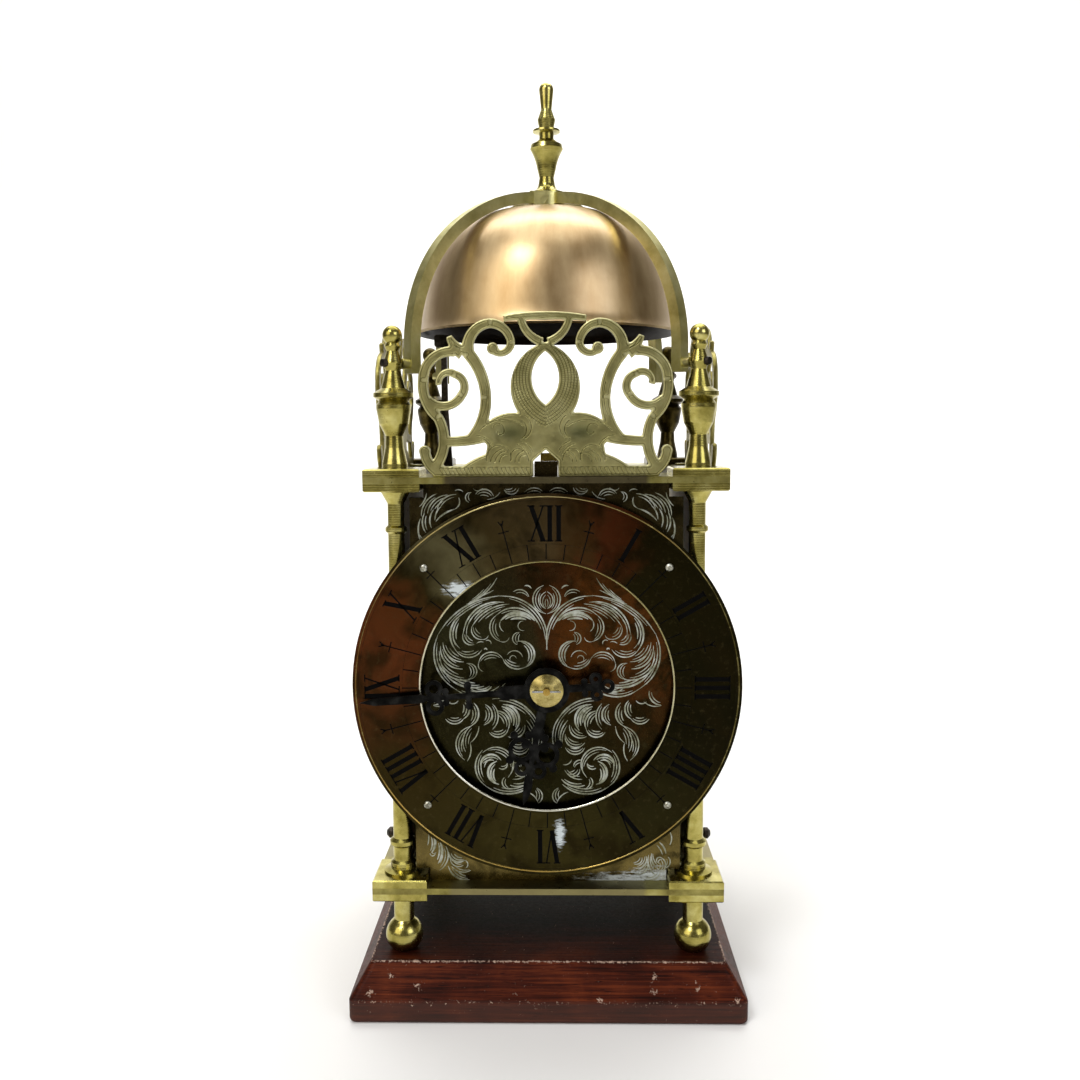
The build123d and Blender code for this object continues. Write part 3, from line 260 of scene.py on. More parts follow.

# Old lacquered brass round the dial, its colour by the clock a painted reflection of the room. A stop's place
# is the clock: 0 is 6, 0.25 is 9, 0.5 is 12 and 0.75 is 3.
# Residue is dried white polish: x and z from the dial's centre, half width and half height in millimetres.
ringLook = {
    "patchSize": 22.0, "jitter": 0.09, "pale": "#62583a", "paleStrength": 0.25,
    "shade": "#1a1508", "shadeSize": 17.0, "shadeStrength": 0.75, "smoothest": 0.14, "roughest": 0.28,
    "stops": [(0.0, "#2f2a12"), (0.10, "#2d2711"), (0.17, "#29210d"), (0.21, "#3a2210"), (0.29, "#4c2813"),
              (0.335, "#462711"), (0.36, "#2b2410"), (0.40, "#605a3e"), (0.44, "#43381f"), (0.50, "#50422a"),
              (0.535, "#443018"), (0.555, "#4e2814"), (0.585, "#42220f"), (0.61, "#1e1a0a"),
              (0.72, "#151307"), (0.80, "#131107"), (0.88, "#211e0d"), (1.0, "#2f2a12")],
    "residue": [(-36.5, 42.2, 5.0, 2.6), (5.4, -64.2, 1.8, 5.2)],
}
# the dial plate's colour by the clock is a painted reflection of the room too
dialLook = {
    "patchSize": 16.0, "jitter": 0.12, "pale": "#4f4930", "paleStrength": 0.35,
    "shade": "#161307", "shadeSize": 11.0, "shadeStrength": 0.8, "smoothest": 0.20, "roughest": 0.36,
    "stops": [(0.0, "#1b1a0b"), (0.25, "#1f1c0d"), (0.34, "#252414"), (0.45, "#292313"), (0.50, "#38210f"),
              (0.55, "#48290f"), (0.66, "#4b2c11"), (0.76, "#3c230e"), (0.84, "#231b0b"), (1.0, "#1b1a0b")],
    # outside the hour ring the tone changes with height instead, between these two heights
    "outsideFrom": 66.0, "lowest": -84.0, "highest": 86.0,
    "heights": [(0.0, "#6c5e34"), (0.14, "#4b4124"), (0.5, "#2b2511"), (1.0, "#352d19")],
    "residue": [(38.0, -87.6, 18.0, 3.2), (46.0, -86.0, 10.0, 3.6)],
}
# the inner edge: pale below and olive above by the clock, a painted highlight with painted shade at the top
edgeHighlightLook = {
    "patchSize": 8.0, "jitter": 0.10, "pale": "#f4f3ea", "paleStrength": 0.5,
    "shade": "#8a8050", "shadeSize": 9.0, "shadeStrength": 0.5, "smoothest": 0.12, "roughest": 0.30,
    "stops": [(0.0, "#efeddc"), (0.14, "#f1efe0"), (0.30, "#dcd8bc"), (0.40, "#b0a878"), (0.52, "#8f8450"),
              (0.68, "#9a9264"), (0.80, "#cfcaa6"), (0.92, "#e9e6d2"), (1.0, "#efeddc")],
    "residue": [],
}
# the outer edge: golden below, brown and dark round the sides by the clock, a painted reflection
outerEdgeReflectionLook = dict(edgeHighlightLook, pale="#d8cd8e", stops=[
    (0.0, "#c0a155"), (0.12, "#a88c48"), (0.2, "#6a5428"), (0.3, "#5a3a1c"), (0.42, "#9a8c5c"),
    (0.5, "#b0a170"), (0.58, "#7c6a3c"), (0.66, "#3a3418"), (0.8, "#3f381c"), (0.9, "#8a7640"),
    (1.0, "#c0a155")])
powderLook = {"colour": "#ccd6da", "streakLength": 5.0, "streakWidth": 1.0, "ragged": 4.2, "reach": 2.2,
              "fullTo": 0.7, "goneAt": 1.5, "strength": 0.8}


def driedPolish(tree, place, look):
    # how much white polish lies at a place, in ragged streaky spots, or None without any
    if not look["residue"]:
        return None
    across = perMm(powderLook["streakWidth"])
    streaky = addNode(tree, "Mapping", {
        "Vector": place, "Scale": (perMm(powderLook["streakLength"]), across, across)})["Vector"]
    smear = addNode(tree, "TexNoise", {
        "Vector": streaky, "Scale": 1.0, "Detail": 6.0, "Roughness": 0.7})["Fac"]
    ragged = addNode(tree, "Math", {
        0: smear, 1: -powderLook["ragged"], 2: powderLook["reach"]}, operation="MULTIPLY_ADD")[0]
    powder = None
    for x, z, halfWidth, halfHeight in look["residue"]:
        spot = addNode(tree, "Mapping", {
            "Vector": place, "Location": (x * mm, 0, (dialCentreZ + z) * mm),
            "Scale": (halfWidth * mm, 1, halfHeight * mm)}, vector_type="TEXTURE")["Vector"]
        away = addNode(tree, "VectorMath", {0: spot}, operation="LENGTH")["Value"]
        edge = addNode(tree, "Math", {0: away, 1: ragged}, operation="ADD")[0]
        left = addNode(tree, "MapRange", {
            "Value": edge, "From Min": powderLook["fullTo"], "From Max": powderLook["goneAt"],
            "To Min": powderLook["strength"], "To Max": 0.0})["Result"]
        if powder is None:
            powder = left
        else:
            powder = addNode(tree, "Math", {0: powder, 1: left}, operation="MAXIMUM")[0]
    return powder


def clockBrass(name, look):
    # Lacquered brass: olive or brown by the clock as a painted reflection of the room, and hazy or darker
    # where the lacquer has thinned or gathered.
    material, tree, shader = newMaterial(name, 1.0, look["smoothest"])
    place = addNode(tree, "TexCoord")["Object"]
    axes = addNode(tree, "SeparateXYZ", {"Vector": place})
    up = addNode(tree, "Math", {0: axes["Z"], 1: dialCentreZ * mm}, operation="SUBTRACT")[0]
    clock = addNode(tree, "Math", {0: axes["X"], 1: up}, operation="ARCTAN2")[0]
    # the clock angle as 0 to 1, less half of what the drift will add
    turn = addNode(tree, "Math", {
        0: clock, 1: 0.5 / math.pi, 2: 0.5 - look["jitter"] / 2}, operation="MULTIPLY_ADD")[0]
    drift = addNode(tree, "TexNoise", {
        "Vector": place, "Scale": perMm(look["patchSize"]), "Detail": 4.0, "Roughness": 0.55})["Fac"]
    shifted = addNode(tree, "Math", {0: drift, 1: look["jitter"], 2: turn}, operation="MULTIPLY_ADD")[0]
    # the colour by the clock: a painted reflection
    colour = addNode(tree, "ValToRGB", {"Fac": shifted}, look["stops"])["Color"]
    if "heights" in look:
        span = addNode(tree, "MapRange", {
            "Value": up, "From Min": look["lowest"] * mm, "From Max": look["highest"] * mm})["Result"]
        outer = addNode(tree, "ValToRGB", {"Fac": span}, look["heights"])["Color"]
        flat = addNode(tree, "CombineXYZ", {"X": axes["X"], "Y": up})["Vector"]
        reach = addNode(tree, "VectorMath", {0: flat}, operation="LENGTH")["Value"]
        outside = addNode(tree, "MapRange", {
            "Value": reach, "From Min": (look["outsideFrom"] - 3) * mm,
            "From Max": look["outsideFrom"] * mm})["Result"]
        colour = addNode(tree, "Mix", {0: outside, 6: colour, 7: outer}, data_type="RGBA")[2]
    cloud = addNode(tree, "TexNoise", {
        "Vector": place, "Scale": perMm(look["shadeSize"]), "Detail": 3.0, "Distortion": 0.8})["Fac"]
    gathered = addNode(tree, "MapRange", {
        "Value": cloud, "From Min": 0.46, "From Max": 0.66, "To Max": look["shadeStrength"]})["Result"]
    fine = addNode(tree, "TexNoise", {
        "Vector": place, "Scale": perMm(2.4), "Detail": 8.0, "Roughness": 0.7})["Fac"]
    hazy = addNode(tree, "MapRange", {
        "Value": fine, "From Min": 0.54, "From Max": 0.8, "To Max": look["paleStrength"]})["Result"]
    powder = driedPolish(tree, place, look)
    for share, hexColour in ((gathered, look["shade"]), (hazy, look["pale"]), (powder, powderLook["colour"])):
        if share is not None:
            colour = addNode(tree, "Mix", {0: share, 6: colour, 7: linear(hexColour)}, data_type="RGBA")[2]
    if powder is not None:
        bare = addNode(tree, "Math", {0: 1.0, 1: powder}, operation="SUBTRACT")[0]
        plug(tree, shader, {"Metallic": bare})
    gloss = addNode(tree, "MapRange", {
        "Value": fine, "From Min": 0.35, "From Max": 0.7, "To Min": look["smoothest"],
        "To Max": look["roughest"]})["Result"]
    bump = addNode(tree, "Bump", {"Height": fine, "Strength": 0.05, "Distance": 0.1 * mm})["Normal"]
    plug(tree, shader, {"Base Color": colour, "Roughness": gloss, "Normal": bump})
    return material


def steel(name, look):
    # Steel: grey when bright, blue-black where it was heated or left dark.
    material, tree, shader = newMaterial(name, 1.0, look["smoothest"])
    place = addNode(tree, "TexCoord")["Object"]
    bloom = addNode(tree, "TexNoise", {
        "Vector": place, "Scale": perMm(look["bloomSize"]), "Detail": 6.0, "Roughness": 0.6})["Fac"]
    tone = addNode(tree, "ValToRGB", {"Fac": bloom}, [
        (0.32, look["dark"]), (0.5, look["main"]), (0.7, look["light"])])["Color"]
    gloss = addNode(tree, "MapRange", {
        "Value": bloom, "From Min": 0.3, "From Max": 0.7, "To Min": look["smoothest"],
        "To Max": look["roughest"]})["Result"]
    grain = addNode(tree, "TexNoise", {"Vector": place, "Scale": perMm(0.8), "Detail": 4.0})["Fac"]
    bump = addNode(tree, "Bump", {"Height": grain, "Strength": 0.12, "Distance": 0.08 * mm})["Normal"]
    plug(tree, shader, {"Base Color": tone, "Roughness": gloss, "Normal": bump})
    return material


def chasedBrass(name, look):
    # Cast and chased fret: matt olive brass, its cut lines darkened, its rims pale partly from rubbing and
    # partly as a painted highlight, and its hollow darkened as painted shade.
    # The piece carries two attributes in millimetres: cuts is (gap to the outline, gap to the nearest stroke,
    # share of painted shade in the hollow), scales is (way along the body, way across it, share of scales).
    material = brass(name, look)
    tree = material.node_tree
    shader = tree.nodes["Principled BSDF"]
    pitted = shader.inputs["Normal"].links[0].from_socket
    colour = shader.inputs["Base Color"].links[0].from_socket
    cuts, scales = [addNode(tree, "SeparateXYZ", {"Vector": addNode(
        tree, "Attribute", attribute_name=layer)["Vector"]}) for layer in ("cuts", "scales")]

    def line(gap, centre, half, strength):
        # full on a line at a gap, nothing beyond 1.6 of its half width
        off = addNode(tree, "Math", {0: gap, 1: centre}, operation="SUBTRACT")[0]
        size = addNode(tree, "Math", {0: off}, operation="ABSOLUTE")[0]
        return addNode(tree, "MapRange", {
            "Value": size, "From Min": half * 0.6, "From Max": half * 1.6, "To Min": strength,
            "To Max": 0.0})["Result"]

    across, along = [addNode(tree, "Math", {0: scales[axis], 1: look[size]}, operation="PINGPONG")[0]
                     for axis, size in (("Y", "scaleAcross"), ("X", "scaleAlong"))]
    lattice = addNode(tree, "Math", {
        0: line(across, 0.0, look["scaleHalfAcross"], 0.9), 1: line(along, 0.0, look["scaleHalfAlong"], 0.6)},
        operation="MAXIMUM")[0]
    net = addNode(tree, "Math", {0: lattice, 1: scales["Z"]}, operation="MULTIPLY")[0]
    drawn = addNode(tree, "Math", {
        0: line(cuts["X"], look["outlineAt"], look["outlineHalf"], 0.65),
        1: line(cuts["Y"], 0.0, look["strokeHalf"], 0.9)}, operation="MAXIMUM")[0]
    total = addNode(tree, "Math", {0: drawn, 1: net}, operation="MAXIMUM")[0]
    rim = addNode(tree, "MapRange", {
        "Value": cuts["X"], "From Min": 0.15, "From Max": 0.7, "To Min": 0.45, "To Max": 0.0})["Result"]
    # rims pale partly as a painted highlight, the hollow darker as painted shade, then the cut lines
    for share, hexColour in ((rim, look["rimWearAndHighlightColour"]), (cuts["Z"], look["hollowShadeColour"]),
                             (total, look["cutColour"])):
        colour = addNode(tree, "Mix", {0: share, 6: colour, 7: linear(hexColour)}, data_type="RGBA")[2]
    depth = addNode(tree, "Bump", {
        "Height": total, "Strength": 0.6, "Distance": 0.25 * mm, "Normal": pitted}, invert=True)["Normal"]
    plug(tree, shader, {"Base Color": colour, "Normal": depth})
    return material


print("metals ready")


def mahogany():
    # French-polished mahogany: long grain from side to side under a gloss that has worn off along the edges.
    # An edge is (half width, height, reach, strength), and a chip is (x, z, reach) of a knock on the front.
    # The pores are drawn wider than real ones, so that they show.
    look = {"dark": "#190703", "main": "#3c1509", "light": "#602a13", "pore": "#100403", "bare": "#b09684",
            "back": "#050202", "band": "#4c3a34", "grainWidth": 1.1, "grainLength": 38.0, "figureSize": 26.0,
            "grainShare": 0.6, "poreWidth": 0.7, "poreLength": 7.0, "chipSize": 1.6, "topZ": 24.0,
            "frontY": -76.0, "darkestY": -40.0, "bandZ": 10.0, "topEdge": (76.75, 24.0, 1.5, 0.24),
            "bandEdge": (85.3, 10.0, 2.0, 0.10), "slopeLean": 0.607, "slopeFoot": -91.6, "chipStrength": 0.24,
            "chips": [(-56, 16, 3.4), (-76, 13, 3.2), (-68, 19, 2.2), (45, 14, 2.2), (64, 15, 2.6),
                      (63, 17, 1.6), (55, 9, 2.4), (80, 11, 2.4), (46, 19, 2.6), (-14, 13, 1.8),
                      (22, 11, 2.0)]}
    material, tree, shader = newMaterial("frenchPolishedMahogany", 0.0, 0.5)
    plug(tree, shader, {"Specular IOR Level": 0.06, "Coat Weight": 0.02, "Coat Roughness": 0.30})
    place = addNode(tree, "TexCoord")["Object"]
    axes = addNode(tree, "SeparateXYZ", {"Vector": place})
    across = perMm(look["grainWidth"])
    along = addNode(tree, "Mapping", {
        "Vector": place, "Scale": (perMm(look["grainLength"]), across, across)})["Vector"]
    grain = addNode(tree, "TexNoise", {
        "Vector": along, "Scale": 1.0, "Detail": 6.0, "Roughness": 0.6, "Distortion": 0.3})["Fac"]
    figure = addNode(tree, "TexNoise", {
        "Vector": place, "Scale": perMm(look["figureSize"]), "Detail": 4.0, "Distortion": 0.8})["Fac"]
    broad = addNode(tree, "Math", {0: figure, 1: 1 - look["grainShare"]}, operation="MULTIPLY")[0]
    figured = addNode(tree, "Math", {0: grain, 1: look["grainShare"], 2: broad}, operation="MULTIPLY_ADD")[0]
    tone = addNode(tree, "ValToRGB", {"Fac": figured}, [
        (0.36, look["dark"]), (0.5, look["main"]), (0.64, look["light"])])["Color"]
    across = perMm(look["poreWidth"])
    along = addNode(tree, "Mapping", {
        "Vector": place, "Scale": (perMm(look["poreLength"]), across, across)})["Vector"]
    poreNoise = addNode(tree, "TexNoise", {"Vector": along, "Scale": 1.0, "Detail": 2.0})["Fac"]
    filled = addNode(tree, "MapRange", {
        "Value": poreNoise, "From Min": 0.6, "From Max": 0.7, "To Max": 0.7})["Result"]
    # painted shade darkens the top towards the back; the band round the bottom turns grey-brown
    depth = addNode(tree, "MapRange", {
        "Value": axes["Y"], "From Min": look["frontY"] * mm, "From Max": look["darkestY"] * mm,
        "To Min": 0.35, "To Max": 0.92})["Result"]
    onTop = addNode(tree, "MapRange", {
        "Value": axes["Z"], "From Min": (look["topZ"] - 0.5) * mm, "From Max": look["topZ"] * mm})["Result"]
    darkened = addNode(tree, "Math", {0: depth, 1: onTop}, operation="MULTIPLY")[0]
    greyBand = addNode(tree, "MapRange", {
        "Value": axes["Z"], "From Min": (look["bandZ"] - 1) * mm, "From Max": (look["bandZ"] + 1) * mm,
        "To Min": 0.45, "To Max": 0.0})["Result"]
    # wear is strongest along the two edges that run round the plinth and at the knocks
    sides = [addNode(tree, "Math", {0: axes[axis]}, operation="ABSOLUTE")[0] for axis in ("X", "Y")]
    reach = addNode(tree, "Math", {0: sides[0], 1: sides[1]}, operation="MAXIMUM")[0]
    worn = []
    for halfWidth, height, width, strength in (look["topEdge"], look["bandEdge"]):
        offs = [addNode(tree, "Math", {0: given, 1: value * mm}, operation="SUBTRACT")[0]
                for given, value in ((reach, halfWidth), (axes["Z"], height))]
        gaps = [addNode(tree, "Math", {0: off}, operation="ABSOLUTE")[0] for off in offs]
        far = addNode(tree, "Math", {0: gaps[0], 1: gaps[1]}, operation="ADD")[0]
        worn.append((far, width, strength))
    for x, z, width in look["chips"]:
        slopeY = z * look["slopeLean"] + look["slopeFoot"]
        far = addNode(tree, "VectorMath", {
            0: place, 1: (x * mm, slopeY * mm, z * mm)}, operation="DISTANCE")["Value"]
        worn.append((far, width, look["chipStrength"]))
    wear = None
    for far, width, strength in worn:
        near = addNode(tree, "MapRange", {
            "Value": far, "From Min": 0.0, "From Max": width * mm, "To Min": strength,
            "To Max": 0.0})["Result"]
        wear = near if wear is None else addNode(tree, "Math", {0: wear, 1: near}, operation="MAXIMUM")[0]
    chips = addNode(tree, "TexNoise", {
        "Vector": place, "Scale": perMm(look["chipSize"]), "Detail": 5.0, "Roughness": 0.7,
        "Distortion": 1.0})["Fac"]
    rubbed = addNode(tree, "Math", {0: wear, 1: chips}, operation="ADD")[0]
    bare = addNode(tree, "MapRange", {"Value": rubbed, "From Min": 0.665, "From Max": 0.74})["Result"]
    colour = tone
    for share, hexColour in ((filled, look["pore"]), (darkened, look["back"]), (greyBand, look["band"]),
                             (bare, look["bare"])):
        colour = addNode(tree, "Mix", {0: share, 6: colour, 7: linear(hexColour)}, data_type="RGBA")[2]
    dull = addNode(tree, "MapRange", {
        "Value": chips, "From Min": 0.4, "From Max": 0.7, "To Min": 0.38, "To Max": 0.62})["Result"]
    bump = addNode(tree, "Bump", {"Height": grain, "Strength": 0.15, "Distance": 0.15 * mm})["Normal"]
    chipped = addNode(tree, "Bump", {
        "Height": bare, "Strength": 0.5, "Distance": 0.3 * mm, "Normal": bump}, invert=True)["Normal"]
    plug(tree, shader, {"Base Color": colour, "Roughness": dull, "Normal": chipped})
    return material


def blackWax():
    # Black sealing wax melted into the cut numerals: matt, slightly sunk and pitted.
    material, tree, shader = newMaterial("blackSealingWax", 0.0, 0.75)
    plug(tree, shader, {"Specular IOR Level": 0.05})
    place = addNode(tree, "TexCoord")["Object"]
    grain = addNode(tree, "TexNoise", {"Vector": place, "Scale": perMm(1.2), "Detail": 5.0})["Fac"]
    tone = addNode(tree, "ValToRGB", {"Fac": grain}, [(0.35, "#010101"), (0.8, "#080706")])["Color"]
    gloss = addNode(tree, "MapRange", {"Value": grain, "To Min": 0.6, "To Max": 0.9})["Result"]
    bump = addNode(tree, "Bump", {"Height": grain, "Strength": 0.3, "Distance": 0.1 * mm})["Normal"]
    plug(tree, shader, {"Base Color": tone, "Roughness": gloss, "Normal": bump})
    return material


def cutSilver():
    # Burin cuts in silvered brass: bright on the flanks, with grey-green bloom and old polish between.
    look = {"dark": "#45442c", "main": "#8b8e7a", "light": "#c3c8c2", "bloomSize": 5.0, "smoothest": 0.28,
            "roughest": 0.5}
    material, tree, shader = newMaterial("silveredCuts", 0.6, 0.34)
    place = addNode(tree, "TexCoord")["Object"]
    bloom = addNode(tree, "TexNoise", {
        "Vector": place, "Scale": perMm(look["bloomSize"]), "Detail": 6.0, "Roughness": 0.7})["Fac"]
    tone = addNode(tree, "ValToRGB", {"Fac": bloom}, [
        (0.3, look["dark"]), (0.46, look["main"]), (0.68, look["light"])])["Color"]
    gloss = addNode(tree, "MapRange", {
        "Value": bloom, "From Min": 0.3, "From Max": 0.7, "To Min": look["smoothest"],
        "To Max": look["roughest"]})["Result"]
    plug(tree, shader, {"Base Color": tone, "Roughness": gloss})
    return material


print("wood, wax and engraved metals ready")

bluedLook = {"dark": "#090909", "main": "#141413", "light": "#2b2b2a", "bloomSize": 5.0, "smoothest": 0.30,
             "roughest": 0.55}
darkSteelLook = {"dark": "#1a1712", "main": "#35302a", "light": "#57504a", "bloomSize": 4.0,
                 "smoothest": 0.28, "roughest": 0.5}
brightSteelLook = {"dark": "#6f6f70", "main": "#a4a5a8", "light": "#cfd1d4", "bloomSize": 6.0,
                   "smoothest": 0.18, "roughest": 0.36}
rivetLook = {"dark": "#5c5b50", "main": "#a09f90", "light": "#dcdccf", "bloomSize": 1.2, "smoothest": 0.2,
             "roughest": 0.42}

finishes = {
    "plinth_wood": mahogany(),
    "frame_brass": brass("castFrameBrass", frameBrassLook),
    "bell_bronze": bellBronze(),
    "dial_brass": clockBrass("dialBrassPaintedReflection", dialLook),
    "ring_brass": clockBrass("ringBrassPaintedReflection", ringLook),
    "panel_brass": brass("sheetBrass", panelBrassLook),
    "dark_steel": steel("oiledSteel", darkSteelLook),
    "blued_steel": steel("bluedHandSteel", bluedLook),
    "collet_brass": brass("turnedColletBrass", colletBrassLook),
    "bright_steel": steel("brightSteel", brightSteelLook),
    "wheel_brass": brass("lacqueredWheelBrass", wheelBrassLook),
}
turnedBrass = brass("turnedPostBrass", turnedBrassLook)
cornerFrom = 43.0  # beyond this the plates stay bright round the posts
# the bottom plate turns darker between the corners
bottomPlateBrass = darkerBetweenCorners(brass("brushedBottomPlateBrass", plateBrassLook), cornerFrom, "#7b7350")
# the top plate is painted darker between the corners: painted shade along its front edge between the corner
# blocks
shadedTopPlateBrass = darkerBetweenCorners(brass("brushedTopPlateBrassPaintedShade", plateBrassLook), cornerFrom, "#4d4538")
litStrapBrass = brass("rolledStrapBrassPaintedLight", litStrapBrassLook)
darkRearBrass = brass("darkRearPostBrass", darkRearBrassLook)
frontFretBrass = chasedBrass("chasedFrontFretBrass", fretLook)
shadedSideFretBrass = chasedBrass("chasedSideFretBrassPaintedShade", shadedSideFretLook)
edgeHighlightBrass = clockBrass("ringEdgePaintedHighlight", edgeHighlightLook)
outerEdgeReflectionBrass = clockBrass("outerEdgePaintedReflection", outerEdgeReflectionLook)
rivetSteel = steel("silveredRivet", rivetLook)
wax = blackWax()
silver = cutSilver()


def dressNodes():
    # gives each CAD node the finish of its slot, or its own where the same brass was worked another way
    slotOf = {part["node"]: part["material_slot"] for part in frame["record"]["subparts"]}
    own = {"front_fret": frontFretBrass, "left_fret": shadedSideFretBrass, "right_fret": shadedSideFretBrass,
           "bottom_plate": bottomPlateBrass, "top_plate": shadedTopPlateBrass, "bell_finial": turnedBrass,
           "bell_strap": litStrapBrass, "rear_left_finial": darkRearBrass, "rear_right_finial": darkRearBrass}
    for name, node in cadNodes.items():
        finish = own.get(name) or finishes[slotOf[name]]
        if name.endswith(("_foot", "_pillar", "_finial")) and name not in own:
            finish = turnedBrass
        node.data.materials.clear()
        node.data.materials.append(finish)


dressNodes()
print("nodes dressed")


# Hour ring: numerals, track, half-hour marks and rivets.
dial = {
    "centreZ": dialCentreZ, "plateFront": -66.5, "ringFront": -72.0, "waxProud": 0.05, "waxDepth": 0.3,
    "numeralRadius": 69.9, "numeralHeight": 14.6, "thick": 1.9, "thin": 0.65, "leanInset": 0.9,
    "serif": 0.5, "serifHalf": 1.5, "pitch": {"I": 3.7, "V": 6.4, "X": 6.8},
    "trackInner": 54.9, "trackOuter": 61.4, "border": 79.8, "lineWidth": 0.45, "borderWidth": 0.63,
    "quarterTicks": 48, "markInner": 61.4, "markOuter": 72.5, "markWidth": 0.495, "markBar": 68.5,
    "markBarLength": 4.6, "forkFrom": 71.1, "forkTo": 73.3, "forkSpread": 1.1,
}
# the two edge beads, coloured by the clock with a painted highlight and painted reflection: radius at the
# middle of the bead, half its thickness, how far it sits behind the face
ringEdges = {"flatness": 0.8, "inner": (53.95, 0.5, 0.35), "outer": (81.15, 0.34, 0.12)}
ringRivets = {"reach": 72.6, "radius": 1.7, "rise": 0.55, "sunk": 0.1, "flatFrom": -0.93, "dimpleInset": 0.1,
              "dimpleDepth": 0.35,
              "angles": {"upper_right": 45, "lower_right": 135, "lower_left": 225, "upper_left": 315}}


def clockPoint(angle, radius, across=0.0):
    # x and z in millimetres of a point at a clock angle, with a step sideways, clockwise
    turn = math.radians(angle)
    return (radius * math.sin(turn) + across * math.cos(turn),
            dial["centreZ"] + radius * math.cos(turn) - across * math.sin(turn))


def waxStroke(angle, start, end, width):
    # a filled cut on the ring between two (across, radius) points at a clock angle
    across, out = end[0] - start[0], end[1] - start[1]
    x, z = clockPoint(angle, (start[1] + end[1]) / 2, (start[0] + end[0]) / 2)
    y = dial["ringFront"] - dial["waxProud"] + dial["waxDepth"] / 2
    bpy.ops.mesh.primitive_cube_add(size=1, location=(x * mm, y * mm, z * mm),
                                    rotation=(0, math.radians(angle) + math.atan2(across, out), 0),
                                    scale=(width * mm, dial["waxDepth"] * mm, math.hypot(across, out) * mm))
    return bpy.context.object


def numeral(name, text, angle):
    # one numeral, its foot towards the centre, cut with thick and thin strokes and fine serifs
    low = dial["numeralRadius"] - dial["numeralHeight"] / 2
    high = dial["numeralRadius"] + dial["numeralHeight"] / 2
    across = -sum(dial["pitch"][letter] for letter in text) / 2
    strokes = []
    for letter in text:
        middle = across + dial["pitch"][letter] / 2
        lean = dial["pitch"][letter] / 2 - dial["leanInset"]
        if letter == "I":
            strokes.append(waxStroke(angle, (middle, low), (middle, high), dial["thick"]))
            feet = [(middle, low), (middle, high)]
        elif letter == "V":
            strokes.append(waxStroke(angle, (middle - lean, high), (middle, low), dial["thick"]))
            strokes.append(waxStroke(angle, (middle + lean, high), (middle, low), dial["thin"]))
            feet = [(middle - lean, high), (middle + lean, high)]
        else:
            strokes.append(waxStroke(angle, (middle - lean, high), (middle + lean, low), dial["thick"]))
            strokes.append(waxStroke(angle, (middle + lean, high), (middle - lean, low), dial["thin"]))
            feet = [(middle + side * lean, end) for side in (-1, 1) for end in (low, high)]
        for at, radius in feet:
            start, end = (at - dial["serifHalf"], radius), (at + dial["serifHalf"], radius)
            strokes.append(waxStroke(angle, start, end, dial["serif"]))
        across += dial["pitch"][letter]
    settle(joined(strokes), name, wax)


def engravedCircle(name, radius, width):
    # a fine wax-filled circle on the ring
    y = dial["ringFront"] - dial["waxProud"] + width / 2
    bpy.ops.mesh.primitive_torus_add(location=(0, y * mm, dial["centreZ"] * mm), rotation=(math.pi / 2, 0, 0),
                                     major_segments=144, minor_segments=4, major_radius=radius * mm,
                                     minor_radius=width / 2 * mm)
    settle(bpy.context.object, name, wax, smooth=30)


def ringCutting():
    deselectAll()
    for hour, text in enumerate(("XII", "I", "II", "III", "IIII", "V", "VI", "VII", "VIII", "IX", "X", "XI")):
        numeral(f"numeral_{hour or 12}", text, 30 * hour)
    engravedCircle("track_inner_line", dial["trackInner"], dial["lineWidth"])
    engravedCircle("track_outer_line", dial["trackOuter"], dial["lineWidth"])
    engravedCircle("border_line", dial["border"], dial["borderWidth"])
    ticks = [waxStroke(tick * 360 / dial["quarterTicks"], (0, dial["trackInner"]), (0, dial["trackOuter"]),
                       dial["lineWidth"]) for tick in range(dial["quarterTicks"])]
    settle(joined(ticks), "quarter_hour_ticks", wax)
    marks = []
    bar = dial["markBarLength"] / 2
    for angle in range(15, 360, 30):
        marks.append(waxStroke(angle, (0, dial["markInner"]), (0, dial["markOuter"]), dial["markWidth"]))
        marks.append(waxStroke(angle, (-bar, dial["markBar"]), (bar, dial["markBar"]), dial["lineWidth"]))
        for side in (-1, 1):
            marks.append(waxStroke(angle, (0, dial["forkFrom"]), (side * dial["forkSpread"], dial["forkTo"]),
                                   dial["lineWidth"]))
    settle(joined(marks), "half_hour_marks", wax)


def edgeBead(end, material):
    # an edge of the ring, a thin flattened round let into its face, with a painted highlight and reflection
    # along it
    radius, tube, behind = ringEdges[end]
    deselectAll()
    bpy.ops.mesh.primitive_torus_add(location=(0, (dial["ringFront"] + behind) * mm, dial["centreZ"] * mm),
                                     rotation=(math.pi / 2, 0, 0), major_segments=180, minor_segments=10,
                                     major_radius=radius * mm, minor_radius=tube * mm)
    bead = bpy.context.object
    bpy.ops.object.transform_apply(location=False, rotation=True, scale=False)
    bead.scale = (1.0, ringEdges["flatness"], 1.0)
    settle(bead, f"ring_{end}_edge", material, smooth=50)


